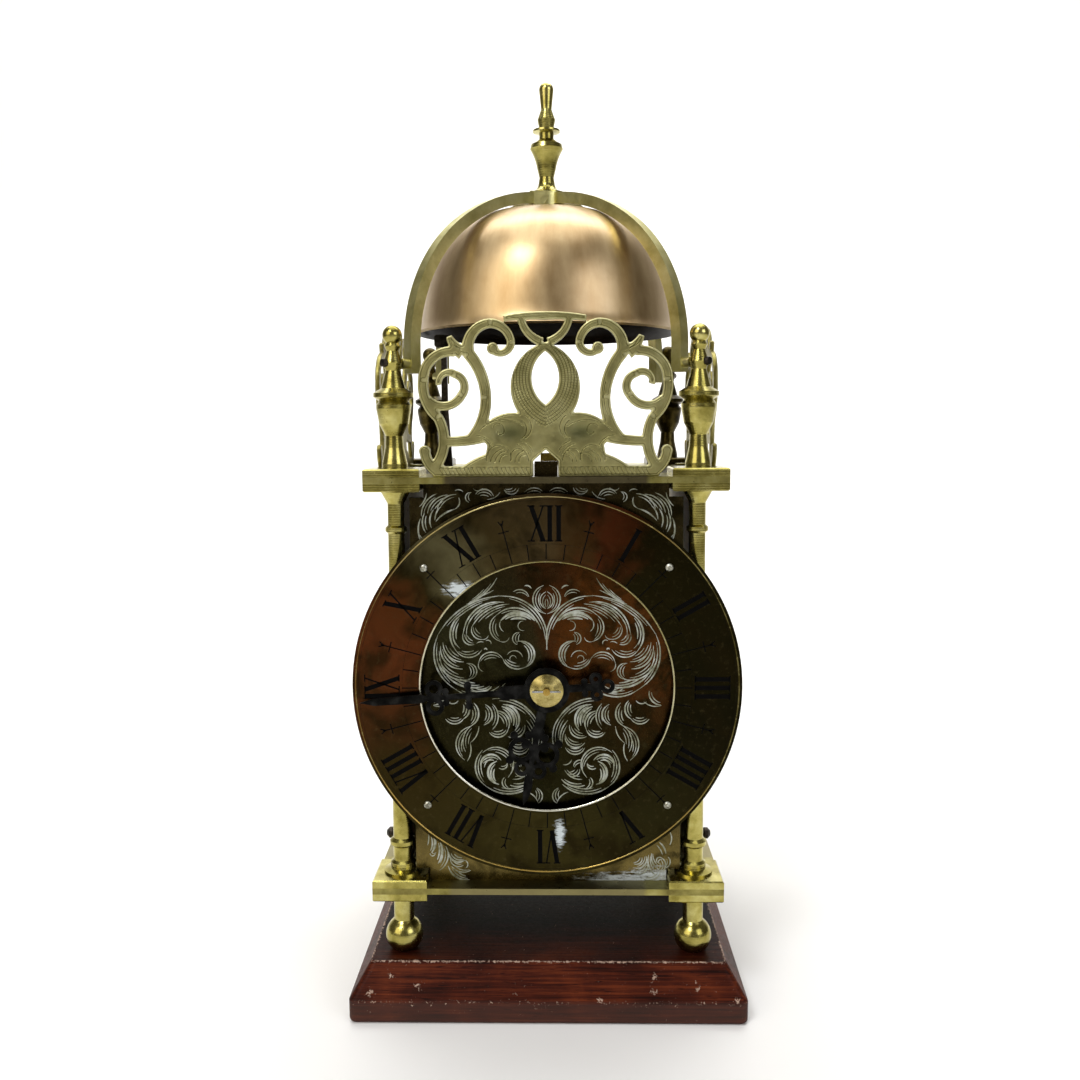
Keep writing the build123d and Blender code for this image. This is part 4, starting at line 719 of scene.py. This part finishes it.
def ringRivet(name, angle):
    # a hammered rivet head: a low dome with a small dimple
    x, z = clockPoint(angle, ringRivets["reach"])
    deselectAll()
    bpy.ops.mesh.primitive_uv_sphere_add(segments=24, ring_count=12, radius=ringRivets["radius"] * mm,
                                         rotation=(math.pi / 2, 0, 0),
                                         location=(x * mm, dial["ringFront"] * mm, z * mm))
    rivet = bpy.context.object
    bpy.ops.object.transform_apply(location=False, rotation=True, scale=False)
    rivet.scale = (1.0, ringRivets["rise"], 1.0)
    bpy.ops.object.transform_apply(location=False, rotation=False, scale=True)
    bpy.ops.object.mode_set(mode="EDIT")
    bpy.ops.mesh.select_all(action="SELECT")
    bpy.ops.mesh.bisect(plane_co=(x * mm, (dial["ringFront"] + ringRivets["sunk"]) * mm, z * mm),
                        plane_no=(0, 1, 0), use_fill=True, clear_outer=True)
    bpy.ops.mesh.select_all(action="DESELECT")
    bpy.ops.mesh.select_mode(type="FACE")
    bpy.ops.object.mode_set(mode="OBJECT")
    for face in rivet.data.polygons:
        face.select = face.normal.y < ringRivets["flatFrom"]
    bpy.ops.object.mode_set(mode="EDIT")
    bpy.ops.mesh.inset(thickness=ringRivets["dimpleInset"] * mm)
    bpy.ops.transform.translate(value=(0, ringRivets["dimpleDepth"] * mm, 0))
    bpy.ops.object.mode_set(mode="OBJECT")
    settle(rivet, name, rivetSteel, smooth=40)


ringCutting()
for corner, angle in ringRivets["angles"].items():
    ringRivet(f"ring_rivet_{corner}", angle)
edgeBead("inner", edgeHighlightBrass)
edgeBead("outer", outerEdgeReflectionBrass)
print("hour ring cut and filled")


# Bell: a spun shell with a soft shoulder and a flared lip, (radius, height) from the crown's hole to the lip.
bellShape = {
    "profile": [(3.4, 353.4), (9, 353.4), (19.5, 352.9), (30, 350.4), (39.4, 345.8), (46.2, 340.4),
                (51.6, 333.2), (55.2, 325.2), (57.5, 316.8), (58.8, 308.8), (59.5, 303.0), (60.6, 298.9),
                (61.9, 297.1)],
    "wall": 1.5, "turns": 144,
}


def bellShell():
    curve = bpy.data.curves.new("bell_shell", "CURVE")
    curve.dimensions = "3D"
    spline = curve.splines.new("NURBS")
    spline.points.add(len(bellShape["profile"]) - 1)
    for point, (radius, height) in zip(spline.points, bellShape["profile"]):
        point.co = (radius * mm, 0, height * mm, 1)
    spline.order_u = 3
    spline.use_endpoint_u = True
    spline.resolution_u = 5
    shell = bpy.data.objects.new("bell_shell", curve)
    bpy.context.scene.collection.objects.link(shell)
    keepOnly([shell])
    bpy.ops.object.convert(target="MESH")
    shell = bpy.context.object
    spun = shell.modifiers.new("spun", "SCREW")
    spun.axis = "Z"
    spun.steps = spun.render_steps = bellShape["turns"]
    spun.use_merge_vertices = True
    spun.merge_threshold = 0.001 * mm
    bpy.ops.object.modifier_apply(modifier="spun")
    outwards(shell)
    # an open sheet may come out facing the axis, so it is turned round if its widest face does
    widest = max(shell.data.polygons, key=lambda face: math.hypot(face.center.x, face.center.y))
    if widest.normal.x * widest.center.x + widest.normal.y * widest.center.y < 0:
        shell.data.flip_normals()
    thick = shell.modifiers.new("wall", "SOLIDIFY")
    thick.thickness = bellShape["wall"] * mm
    thick.offset = -1.0
    bpy.ops.object.modifier_apply(modifier="wall")
    settle(shell, "bell_shell", finishes["bell_bronze"], smooth=50)
    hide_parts("bell")


bellShell()
print("bell spun")


# Acanthus scrolls on the dial plate. Each cut is an arc through three points and its width at the middle,
# (x, z, x, z, x, z, width) in millimetres from the dial's centre, with x outwards on either half.
upperScrolls = [
    (0.2, 15.3, 4.7, 32.7, 20.3, 38.6, 1.0), (20.3, 38.6, 38, 31.8, 46.4, 21.9, 1.0),
    (46.4, 21.9, 47.6, 8.5, 39.5, -1.8, 1.0), (39.5, -1.8, 28, -5.2, 17.9, 0.7, 1.0),
    (4, 27.1, 12, 33.4, 21.5, 30.2, 1.0), (21.5, 30.2, 24.3, 24.5, 19.4, 18.8, 0.8),
    (19.4, 18.8, 17.4, 18.9, 16, 20.6, 0.5), (5, 27.8, 12.5, 31.5, 19.5, 28, 2.0),
    (19.5, 28, 20, 25.5, 18.4, 23.2, 0.6), (15.8, 35.1, 26, 31.8, 31.8, 25.5, 0.9),
    (31.8, 25.5, 30.9, 21, 27.3, 19.8, 0.7), (27.3, 19.8, 25.8, 20.2, 24.9, 21.5, 0.5),
    (18, 35.8, 31.5, 31.5, 35.6, 22.5, 1.1), (35.6, 22.5, 35, 18.6, 31, 17.6, 0.8),
    (27, 32.6, 33, 27.5, 34.2, 21, 0.6), (34.2, 21, 33.8, 19.3, 32.4, 18.4, 0.4),
    (36.4, 30.6, 41.2, 22.5, 38.8, 14.9, 1.2), (38.8, 14.9, 32.5, 12, 27.7, 15.3, 0.8),
    (39.5, 25.5, 39.8, 20, 37, 15.8, 0.6), (44.4, 18.6, 42, 12.6, 35.5, 10, 0.8),
    (45.4, 17, 43, 9.6, 36, 6.9, 1.0), (34.3, 9.4, 30, 6.4, 33.9, 2.4, 0.8),
    (33, 2.2, 42.5, 4.2, 47.3, 13.5, 1.0), (27, -0.6, 36.5, -0.4, 43, 4, 1.3),
    (23.8, -0.7, 28.4, -3.2, 32.5, -1.8, 1.2),
    (23.8, 17.7, 24.6, 19.4, 26, 19.2, 0.6), (27, 18.6, 28.5, 18.8, 30, 18, 0.6),
    (25.6, 15.2, 26.1, 15.9, 26.7, 15.4, 0.9), (12.6, 19, 5.3, 14.6, 10, 7.4, 1.2),
    (10, 7.4, 14.5, 7.2, 18.8, 11.4, 1.0), (18.8, 11.4, 24.5, 14.3, 29.2, 9.6, 0.8),
    (29.2, 9.6, 29, 7.2, 27.2, 5.8, 0.6), (10.3, 12.1, 13.4, 14.9, 16.9, 13.2, 0.6),
    (13, 11.5, 14.6, 12.8, 15.6, 10.6, 0.5), (9.9, 27.8, 12, 24.7, 9.6, 23.6, 0.5),
    (11.7, 22.9, 14.6, 20.2, 12.6, 17.5, 0.7), (1.2, 43.1, 5.9, 37.5, 0.3, 30.9, 0.8),
    (0.3, 40.3, 2.6, 37.9, 0.3, 33, 0.7), (21, 46.3, 24.8, 41, 34, 35, 0.9),
    (22.5, 41, 26, 39.3, 30, 37.7, 0.7), (6.4, 41.7, 7.8, 42.9, 9.3, 42.9, 0.9),
    (7.5, 38.2, 11, 41.3, 14.1, 40.3, 0.7),
]
lowerScrolls = [
    (23.5, -6.2, 12, -7.8, 4, -16.6, 1), (19, -8.6, 12.6, -12.5, 13.8, -20.1, 1.4),
    (21.8, -11.4, 16.8, -14.4, 16.8, -19.6, 1.1), (16.8, -19.6, 20.3, -23, 24.9, -21, 1),
    (19.5, -9.5, 15, -12.8, 14.5, -17.9, 1.6), (23.5, -8.3, 21, -14.5, 23.5, -19.6, 0.8),
    (26.6, -8.6, 23.6, -13, 27.3, -17.7, 0.9), (31.5, -7.9, 29.4, -13, 33, -18.2, 1.1),
    (33, -18.2, 39.2, -24.2, 35.7, -33.3, 0.9), (32.2, -17.7, 36.2, -23.1, 35.3, -29.6, 0.7),
    (29.4, -18.2, 30.6, -22.6, 33.3, -25.6, 0.7), (33.3, -25.6, 33.2, -30.5, 34.6, -33.7, 0.8),
    (35, -6.9, 33.4, -11.5, 36, -15, 1.1), (36, -15, 40, -17.2, 43.8, -15, 0.9),
    (38.1, -6.9, 40.5, -8.3, 42.6, -7.5, 0.7), (43.7, -2.7, 44.9, -7, 48.9, -8.9, 1),
    (41.5, -7.5, 44.5, -9.2, 48.9, -9.1, 0.7), (9.9, -10, 2.8, -19, 3.7, -29.6, 0.7),
    (8.9, -15.6, 6.1, -20.2, 6.1, -27.7, 0.9), (9.6, -17.7, 11.5, -22.5, 16.9, -22.8, 0.9),
    (7.8, -21.7, 11, -27.5, 16.2, -25.6, 0.9), (7.8, -27.7, 12, -30.7, 16.2, -27.7, 0.9),
    (17, -41, 18.5, -28.3, 28, -29.9, 0.9), (28, -28.8, 31.2, -36.9, 26.6, -45, 1),
    (26.6, -45, 18, -48.4, 6.5, -44.1, 1.2), (20, -33.3, 24.5, -30.7, 29, -35.8, 1.3),
    (21.8, -33.7, 25.6, -37.5, 21, -44.1, 1.6), (23.8, -32.5, 26.6, -34.5, 27.3, -36.6, 0.7),
    (17.2, -35, 19.3, -37.3, 21, -36.8, 0.9), (18.6, -41, 19.6, -43.7, 17.2, -46.1, 0.9),
    (10.6, -32.9, 8.9, -35, 6.8, -35.3, 0.7), (11.3, -36.1, 12.9, -33.5, 15.1, -33.3, 0.8),
    (14.1, -37.3, 12.7, -40.1, 8.5, -39.3, 0.8), (6.1, -41.8, 11, -44.9, 16.2, -44.5, 1.2),
    (7.5, -37.7, 11, -41.1, 15.1, -41.8, 0.8), (4.7, -45.7, 2.2, -49.6, 4, -52.6, 0.8),
    (4, -52.6, 5.4, -49.8, 9, -47.5, 0.8),
]
spandrelScrolls = {
    "upper": [
        (36.7, 80.4, 36.4, 78, 38.4, 75.6, 0.9), (38.4, 75.6, 43, 73.6, 46.5, 70.4, 1.1),
        (37.7, 81.8, 42.8, 80.2, 45.9, 75.4, 0.9), (41.3, 81.6, 47.2, 79.2, 50, 73.8, 0.9),
        (45.6, 82.2, 50.6, 78.8, 52.6, 72.6, 0.9), (44.4, 76.6, 46, 74.5, 46.9, 70.9, 0.9),
        (47.4, 75.4, 49, 71.6, 48.4, 67.6, 1), (51.2, 74, 52.2, 69.8, 50.8, 65.6, 1),
        (53, 71.6, 54, 66.4, 52.8, 61.6, 1), (50.2, 82.4, 50.9, 79.9, 53.4, 76.6, 0.8),
        (53.4, 64.6, 52, 60.8, 52.8, 57.4, 0.9), (31.6, 82.6, 33.9, 80.2, 32.4, 78.4, 0.7),
        (29.6, 81.8, 25.4, 83.9, 22, 80.9, 0.9), (24.8, 79.6, 21.6, 80.4, 19.2, 82.8, 0.7),
        (17.6, 83.6, 13.2, 82, 11.4, 84.4, 0.8), (9, 82.6, 5.4, 84.4, 1.4, 82.9, 0.8),
        (34.8, 82.8, 36.2, 83.7, 38.2, 83.4, 0.6), (26.6, 84.4, 28.6, 83.2, 30.6, 84.2, 0.6),
    ],
    "lower_right": [
        (48.7, -84, 51.5, -80.3, 49.6, -77.1, 1.1), (49.6, -77.1, 47.8, -77.2, 48.1, -79.4, 0.9),
        (45.3, -75, 46.1, -80.1, 48.7, -82.5, 1.1), (44, -75.8, 44.3, -81.5, 47.2, -85.1, 1.1),
        (49.1, -84.1, 46.2, -87, 42, -87, 1.3), (48.6, -70.1, 50.4, -72.1, 51.5, -75.2, 1.1),
        (47.4, -71.3, 49, -73.3, 49.9, -75.6, 0.8), (53, -65.2, 53.9, -68.1, 53.1, -71.3, 0.9),
        (42.8, -76.2, 42, -80.7, 38.6, -82.1, 1), (41.1, -77, 40.4, -79.4, 37.4, -79.8, 0.9),
        (43.1, -78.6, 42.5, -83.5, 38.2, -84.3, 1), (52.3, -76.6, 53.4, -79, 50.9, -81.9, 0.8),
    ],
    "lower_left": [
        (50.3, -66.5, 49.1, -70.5, 50.8, -75, 1.6), (47.2, -69.7, 46.2, -75.4, 48.1, -80.1, 1.6),
        (44.8, -71.5, 43.7, -77.8, 47.4, -83.1, 0.9), (43.3, -74.8, 41.4, -78.6, 36.3, -78.4, 1.4),
        (36.3, -78.4, 35, -80.3, 36, -82.1, 0.8), (43.6, -81.1, 40.9, -85.6, 34.3, -87.4, 1.3),
        (42.2, -81.1, 39.3, -83.5, 33.8, -83.1, 0.9), (52.2, -65.2, 52, -69.3, 52.5, -71.7, 0.8),
        (42.7, -77.8, 40.6, -81.1, 36.9, -80.7, 0.8), (51.5, -75.2, 50.9, -76.4, 49.2, -75.4, 0.7),
    ],
}


# A broad cut with a deep bow gets rows of finer cuts inside its hollow, each shorter than the last.
scrollCut = {
    "points": 9, "flatness": 0.3, "halfWidth": 0.38, "endShare": 0.30, "fullness": 0.7, "straightBelow": 0.05,
    "broadFrom": 0.7, "bowFrom": 1.2, "bowPerRow": 2.1, "mostRows": 2, "rowGap": 1.25, "rowWidth": 0.7,
    "rowPoints": 21, "rowTrim": 3,
}


def arcPoints(cut, count):
    # evenly spaced points on the arc through a cut's three points, or on a line where they are in line
    x0, z0, x1, z1, x2, z2 = cut[:6]
    steps = [i / (count - 1) for i in range(count)]
    cross = 2 * (x0 * (z1 - z2) + x1 * (z2 - z0) + x2 * (z0 - z1))
    if abs(cross) < scrollCut["straightBelow"]:
        return [(x0 + (x2 - x0) * step, z0 + (z2 - z0) * step) for step in steps]
    squares = [x * x + z * z for x, z in ((x0, z0), (x1, z1), (x2, z2))]
    centreX = (squares[0] * (z1 - z2) + squares[1] * (z2 - z0) + squares[2] * (z0 - z1)) / cross
    centreZ = (squares[0] * (x2 - x1) + squares[1] * (x0 - x2) + squares[2] * (x1 - x0)) / cross
    radius = math.hypot(x0 - centreX, z0 - centreZ)
    first, middle, last = [math.atan2(z - centreZ, x - centreX) for x, z in ((x0, z0), (x1, z1), (x2, z2))]
    sweep = (last - first) % (2 * math.pi)
    if (middle - first) % (2 * math.pi) > sweep:
        sweep -= 2 * math.pi
    turns = [first + sweep * step for step in steps]
    return [(centreX + radius * math.cos(turn), centreZ + radius * math.sin(turn)) for turn in turns]


def shadingCuts(cuts):
    # the finer cuts that shade a leaf, inside the hollow of each broad one
    finer = []
    for x0, z0, x1, z1, x2, z2, width in cuts:
        inX, inZ = (x0 + x2) / 2 - x1, (z0 + z2) / 2 - z1
        bow = math.hypot(inX, inZ)
        if width < scrollCut["broadFrom"] or bow < scrollCut["bowFrom"]:
            continue
        points = arcPoints((x0, z0, x1, z1, x2, z2), scrollCut["rowPoints"])
        rows = min(scrollCut["mostRows"], int(bow / scrollCut["bowPerRow"]) + 1)
        for row in range(1, rows + 1):
            shift = scrollCut["rowGap"] * row / bow
            trim = scrollCut["rowTrim"] * row
            kept = [points[trim], points[len(points) // 2], points[-1 - trim]]
            moved = [part for x, z in kept for part in (x + inX * shift, z + inZ * shift)]
            finer.append(moved + [width * scrollCut["rowWidth"]])
    return cuts + finer


def cutPiece(name, cuts, side):
    # lays the cuts on the dial plate as low ridges that taper at both ends, mirrored where side is -1
    curve = bpy.data.curves.new(name, "CURVE")
    curve.dimensions = "3D"
    curve.bevel_depth = 1.0  # so that a point's radius is the ridge's own
    curve.bevel_resolution = 1
    curve.use_fill_caps = True
    for cut in shadingCuts(cuts):
        places = arcPoints(cut, scrollCut["points"])
        spline = curve.splines.new("NURBS")
        spline.points.add(len(places) - 1)
        for index, (point, (x, z)) in enumerate(zip(spline.points, places)):
            swell = math.sin(math.pi * index / (len(places) - 1)) ** scrollCut["fullness"]
            point.co = (side * x * mm, 0, (dial["centreZ"] + z) * mm, 1)
            point.radius = cut[6] * scrollCut["halfWidth"] * mm * (
                scrollCut["endShare"] + (1 - scrollCut["endShare"]) * swell)
        spline.order_u = 3
        spline.use_endpoint_u = True
        spline.resolution_u = 3
    piece = bpy.data.objects.new(name, curve)
    bpy.context.scene.collection.objects.link(piece)
    keepOnly([piece])
    bpy.ops.object.convert(target="MESH")
    piece = bpy.context.object
    piece.scale = (1, scrollCut["flatness"], 1)
    piece.location = (0, dial["plateFront"] * mm, 0)
    settle(piece, name, silver, smooth=60)


for side, sideName in ((1, "right"), (-1, "left")):
    cutPiece(f"dial_scrolls_upper_{sideName}", upperScrolls, side)
    cutPiece(f"dial_scrolls_lower_{sideName}", lowerScrolls, side)
    cutPiece(f"spandrel_scrolls_upper_{sideName}", spandrelScrolls["upper"], side)
    cutPiece(f"spandrel_scrolls_lower_{sideName}", spandrelScrolls[f"lower_{sideName}"], side)
print("dial scrolls cut")


# Dolphin frets: the cast outline in fine facets, its strips outlined by a cut line, with scaled bodies, an
# eye and brow, hatched fins and a rope along the base. Strokes are arcs for the left half, with heights from
# the base. The hollow is (x, height, half width, half height, depth). The body is part of a ring, and its
# scales fade in and out over the two lengths of bodyFades.
fretCut = {
    "base": 232.9, "front": -73.5, "dressedTo": 0.7, "faceTo": 0.3, "voxel": 0.4, "outlineStep": 0.12,
    "cutDepth": 0.14, "outlineAt": 0.95, "outlineWidth": 0.22, "strokeWidth": 0.24, "strokePoints": 80,
    "rimRound": 0.22, "rimWidth": 0.5, "bodyCentre": (7.7, 40.25), "bodyRadius": 13.3, "bodyWidth": 8.7,
    "bodyFrom": 12.5, "bodyTo": 53.0, "bodyFades": (1.5, 2.0), "bodyInset": 0.5, "bodyReach": 15.0,
    "scaleTurn": 18,
    # the hollow is also painted darker as shade, by hollowShade
    "hollow": (-14.4, 18.2, 6.2, 3.8, 0.45), "hollowShade": 0.85, "ropePitch": 1.7, "ropeFrom": -43.0,
    "ropeTo": 43.0, "ropeGap": 6.2, "strand": (-0.8, 3.6, -0.2, 2.1, 0.8, 0.9), "strandPoints": 24,
    "strokes": [
        (-21.5, 20.4, -18.3, 21.5, -17.1, 19.4), (-17.1, 19.4, -18.5, 17.3, -19.9, 18.5),
        (-27.1, 19.0, -18.3, 23.2, -8.9, 20.6), (-8.5, 25.0, -5.9, 20.4, -8.5, 15.7),
        (-9.9, 23.1, -7.8, 19.4, -9.9, 15.7), (-28.3, 17.0, -24.0, 15.4, -22.0, 12.9),
        (-24.3, 6.4, -22.0, 12.0, -18.3, 12.9), (-18.3, 12.9, -15.0, 10.6, -14.6, 6.4),
        (-14.1, 6.9, -12.7, 11.1, -10.4, 11.5), (-10.4, 11.5, -8.0, 9.7, -7.1, 6.4),
        (-22.8, 6.0, -20.9, 9.7, -17.6, 11.5), (-20.9, 6.0, -19.2, 9.2, -16.4, 10.4),
        (-19.0, 6.0, -17.6, 8.6, -15.4, 9.0), (-12.6, 6.0, -11.3, 9.2, -9.2, 10.4),
        (-10.9, 6.0, -9.7, 8.6, -8.4, 8.8), (-39.2, 56.6, -37.7, 53.9, -34.6, 52.4),
        (-37.6, 55.8, -36.2, 53.4, -34.0, 51.8), (-24.7, 38.5, -23.9, 32.0, -25.8, 24.6),
        (-43.5, 3.9, -25.0, 3.95, -6.0, 3.9), (-43.5, 0.7, -25.0, 0.65, -6.0, 0.7),
        (-12.0, 13.4, -9.5, 12.4, -6.8, 9.4), (-10.0, 14.6, -7.0, 12.8, -5.4, 10.4),
    ],
}


def nearness(points):
    # a lookup of the gap in millimetres to the nearest of some (x, z) points
    tree = KDTree(len(points))
    for index, (x, z) in enumerate(points):
        tree.insert((x, z, 0), index)
    tree.balance()
    return tree


def fretOutline(mesh):
    # (x, z) points along every edge between the front face and a side wall
    front, wall = set(), set()
    for face in mesh.polygons:
        edges = [tuple(sorted(key)) for key in face.edge_keys]
        if face.normal.y < -0.99:
            front.update(edges)
        elif abs(face.normal.y) < 0.5:
            wall.update(edges)
    outline = []
    for first, second in sorted(front & wall):
        a, b = mesh.vertices[first].co / mm, mesh.vertices[second].co / mm
        if max(a.y, b.y) <= fretCut["front"] + 0.1:
            steps = max(1, int((b - a).length / fretCut["outlineStep"]))
            outline += [(a.x + (b.x - a.x) * i / steps, a.z + (b.z - a.z) * i / steps) for i in range(steps)]
    return outline


def fretStrokes():
    # points along the strokes on both halves and along the strands of the rope
    strokes = [(side * x, z) for cut in fretCut["strokes"] for x, z in arcPoints(cut, fretCut["strokePoints"])
               for side in (-1, 1)]
    x0, z0, x1, z1, x2, z2 = fretCut["strand"]
    at = fretCut["ropeFrom"]
    while at < fretCut["ropeTo"]:
        if abs(at) > fretCut["ropeGap"]:
            strokes += arcPoints((at + x0, z0, at + x1, z1, at + x2, z2), fretCut["strandPoints"])
        at += fretCut["ropePitch"]
    return strokes


def scalesAt(x, z):
    # way along the body, way across it and the share of scales, which fade out at the body's ends and edges
    bodyX, bodyZ = fretCut["bodyCentre"]
    left = -abs(x)
    across = math.hypot(left - bodyX, z - bodyZ) - fretCut["bodyRadius"]
    along = math.atan2(z - bodyZ, bodyX - left) * fretCut["scaleTurn"]
    fadeIn, fadeOut = fretCut["bodyFades"]
    share = min((z - fretCut["bodyFrom"]) / fadeIn, (fretCut["bodyTo"] - z) / fadeOut, 1.0,
                fretCut["bodyWidth"] - across, across - fretCut["bodyInset"], fretCut["bodyReach"] + left)
    return along, across, max(0.0, share)


def chasedFret():
    source = bpy.data.objects.new("front_fret_chased", cadNodes["front_fret"].data.copy())
    bpy.context.scene.collection.objects.link(source)
    outwards(source)
    outlineTo = nearness(fretOutline(source.data))
    strokeTo = nearness(fretStrokes())
    fine = source.modifiers.new("fineCast", "REMESH")
    fine.mode = "VOXEL"
    fine.voxel_size = fretCut["voxel"] * mm
    keepOnly([source])
    bpy.ops.object.modifier_apply(modifier="fineCast")
    hollowX, hollowZ, hollowHalf, hollowRise, hollowDepth = fretCut["hollow"]
    cuts, scales = [], []
    for vertex in source.data.vertices:
        x, y, z = vertex.co.x / mm, vertex.co.y / mm, vertex.co.z / mm - fretCut["base"]
        if y > fretCut["front"] + fretCut["dressedTo"]:
            # far from any cut, and no scales
            cuts.append((5.0, 5.0, 0.0))
            scales.append((0.0, 0.0, 0.0))
            continue
        gap = outlineTo.find((x, z + fretCut["base"], 0))[2]
        stroke = strokeTo.find((x, z, 0))[2]
        hollow = math.exp(-((-abs(x) - hollowX) / hollowHalf) ** 2 - ((z - hollowZ) / hollowRise) ** 2)
        cuts.append((gap, stroke, fretCut["hollowShade"] * hollow))
        scales.append(scalesAt(x, z))
        if y < fretCut["front"] + fretCut["faceTo"]:
            rim = max(0.0, 1 - gap / fretCut["rimWidth"]) ** 2 * fretCut["rimRound"]
            outlineCut = math.exp(-((gap - fretCut["outlineAt"]) / fretCut["outlineWidth"]) ** 2)
            strokeCut = math.exp(-(stroke / fretCut["strokeWidth"]) ** 2)
            groove = fretCut["cutDepth"] * max(outlineCut, strokeCut)
            vertex.co.y += (rim + groove + hollowDepth * hollow) * mm
    for name, values in (("cuts", cuts), ("scales", scales)):
        layer = source.data.attributes.new(name, "FLOAT_VECTOR", "POINT")
        layer.data.foreach_set("vector", [part for value in values for part in value])
    settle(source, "front_fret_chased", frontFretBrass, smooth=55)
    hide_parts("front_fret")
    for node, degrees in (("left_fret", -90), ("right_fret", 90)):
        twin = source.copy()
        twin.data = source.data.copy()
        bpy.context.scene.collection.objects.link(twin)
        twin.rotation_euler = (0, 0, math.radians(degrees))
        settle(twin, node + "_chased", shadedSideFretBrass)
        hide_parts(node)


chasedFret()
print("frets chased")


# Stage, lights and camera.
studio = {
    "floorColour": "#eeedea", "floorSize": 6000.0, "floorBack": 1500.0, "sweepHeight": 3200.0,
    "sweepRadius": 900.0, "sweepSteps": 16, "roomColour": "#a8a49a", "roomStrength": 0.42,
    "wallStrength": 0.9,
    "lights": [  # name, place, size, power, colour, aimed at this point
        ("keyWindow", (-800, -1400, 2000), 620, 22.0, "#f6f8ff", (0, 0, 200)),
        ("fillWindow", (1000, -1050, 800), 800, 6.5, "#f2f4ff", (0, 0, 230)),
        ("topSoftbox", (0, 0, 1700), 1300, 11.0, "#ffffff", (0, 0, 100)),
        ("frontWindow", (-1000, -1200, 900), 1100, 9.0, "#fff6e8", (0, 0, 230)),
        ("sweepWash", (0, 650, 1500), 1400, 24.0, "#ffffff", (0, 1500, 500)),
    ],
}
# the camera's place and sensor in millimetres and its turns in radians; focal, middle and frame in pixels
lens = {
    "place": (6.33, -503.01, 253.97), "yaw": -0.0193, "pitch": 0.1147, "roll": -0.0053,
    "focal": 1042.17, "middle": (541.33, 545.23), "frame": 1080, "sensor": 36.0,
}


def sweepPaper():
    # matt painted paper with a faint unevenness
    material, tree, shader = newMaterial("paleSweepPaper", 0.0, 0.9)
    pale = linear(studio["floorColour"])
    shaded = [c * 0.97 for c in pale[:3]] + [1.0]
    cloud = addNode(tree, "TexNoise", {
        "Vector": addNode(tree, "TexCoord")["Object"], "Scale": perMm(400.0), "Detail": 2.0})["Fac"]
    tone = addNode(tree, "Mix", {0: cloud, 6: pale, 7: shaded}, data_type="RGBA")[2]
    plug(tree, shader, {"Base Color": tone})
    return material


def paperSweep():
    # a pale floor that curves up behind
    deselectAll()
    half = studio["floorSize"] / 2
    bpy.ops.mesh.primitive_plane_add(size=studio["floorSize"] * mm,
                                     location=(0, (studio["floorBack"] - half) * mm, 0))
    sweep = bpy.context.object
    bpy.ops.object.mode_set(mode="EDIT")
    bpy.ops.mesh.select_mode(type="EDGE")
    bpy.ops.mesh.select_all(action="DESELECT")
    bpy.ops.object.mode_set(mode="OBJECT")
    for edge in sweep.data.edges:
        edge.select = all(sweep.data.vertices[end].co.y > (half - 1) * mm for end in edge.vertices)
    bpy.ops.object.mode_set(mode="EDIT")
    bpy.ops.mesh.extrude_region_move(TRANSFORM_OT_translate={"value": (0, 0, studio["sweepHeight"] * mm)})
    bpy.ops.object.mode_set(mode="OBJECT")
    curve = sweep.modifiers.new("sweepCurve", "BEVEL")
    curve.width = studio["sweepRadius"] * mm
    curve.segments = studio["sweepSteps"]
    curve.limit_method = "ANGLE"
    bpy.ops.object.modifier_apply(modifier="sweepCurve")
    bpy.ops.object.shade_smooth()
    sweep.name = "paperSweep"
    sweep.data.materials.append(sweepPaper())


def areaLight(name, place, size, power, hexColour, aim):
    lamp = bpy.data.lights.new(name, "AREA")
    lamp.size = size * mm
    lamp.energy = power
    lamp.color = linear(hexColour)[:3]
    holder = bpy.data.objects.new(name, lamp)
    bpy.context.scene.collection.objects.link(holder)
    holder.location = Vector(place) * mm
    towards = Vector(aim) * mm - holder.location
    holder.rotation_euler = towards.to_track_quat("-Z", "Y").to_euler()


def makeCamera():
    yaw, pitch, roll = lens["yaw"], lens["pitch"], lens["roll"]
    level = Vector((math.sin(yaw), math.cos(yaw), 0))
    ahead = level * math.cos(pitch) - Vector((0, 0, math.sin(pitch)))
    above = Vector((0, 0, math.cos(pitch))) + level * math.sin(pitch)
    aside = Vector((math.cos(yaw), -math.sin(yaw), 0))
    right = aside * math.cos(roll) + above * math.sin(roll)
    up = above * math.cos(roll) - aside * math.sin(roll)
    camera = bpy.data.objects.new("camera", bpy.data.cameras.new("camera"))
    bpy.context.scene.collection.objects.link(camera)
    camera.matrix_world = Matrix.Translation(Vector(lens["place"]) * mm) @ Matrix(
        (right, up, -ahead)).transposed().to_4x4()
    camera.data.sensor_width = lens["sensor"]
    camera.data.lens = lens["focal"] / lens["frame"] * lens["sensor"]
    camera.data.shift_x = (lens["frame"] / 2 - lens["middle"][0]) / lens["frame"]
    camera.data.shift_y = (lens["middle"][1] - lens["frame"] / 2) / lens["frame"]
    camera.data.clip_start = 0.01
    bpy.context.scene.camera = camera


def makeWorld():
    world = bpy.data.worlds.new("room")
    bpy.context.scene.world = world
    world.use_nodes = True
    tree = world.node_tree
    room = tree.nodes["Background"]
    plug(tree, room, {"Color": linear(studio["roomColour"]), "Strength": studio["roomStrength"]})
    # the room looks as pale as the floor, yet lights the brass gently
    wall = addNode(tree, "Background", {
        "Color": linear(studio["floorColour"]), "Strength": studio["wallStrength"]})[0]
    seen = addNode(tree, "LightPath")["Is Camera Ray"]
    mixed = addNode(tree, "MixShader", {0: seen, 1: room.outputs[0], 2: wall})[0]
    plug(tree, tree.nodes["World Output"], {"Surface": mixed})


paperSweep()
for light in studio["lights"]:
    areaLight(*light)
makeCamera()
makeWorld()
bpy.context.scene.view_settings.view_transform = "Standard"
print("stage, lights and camera set")
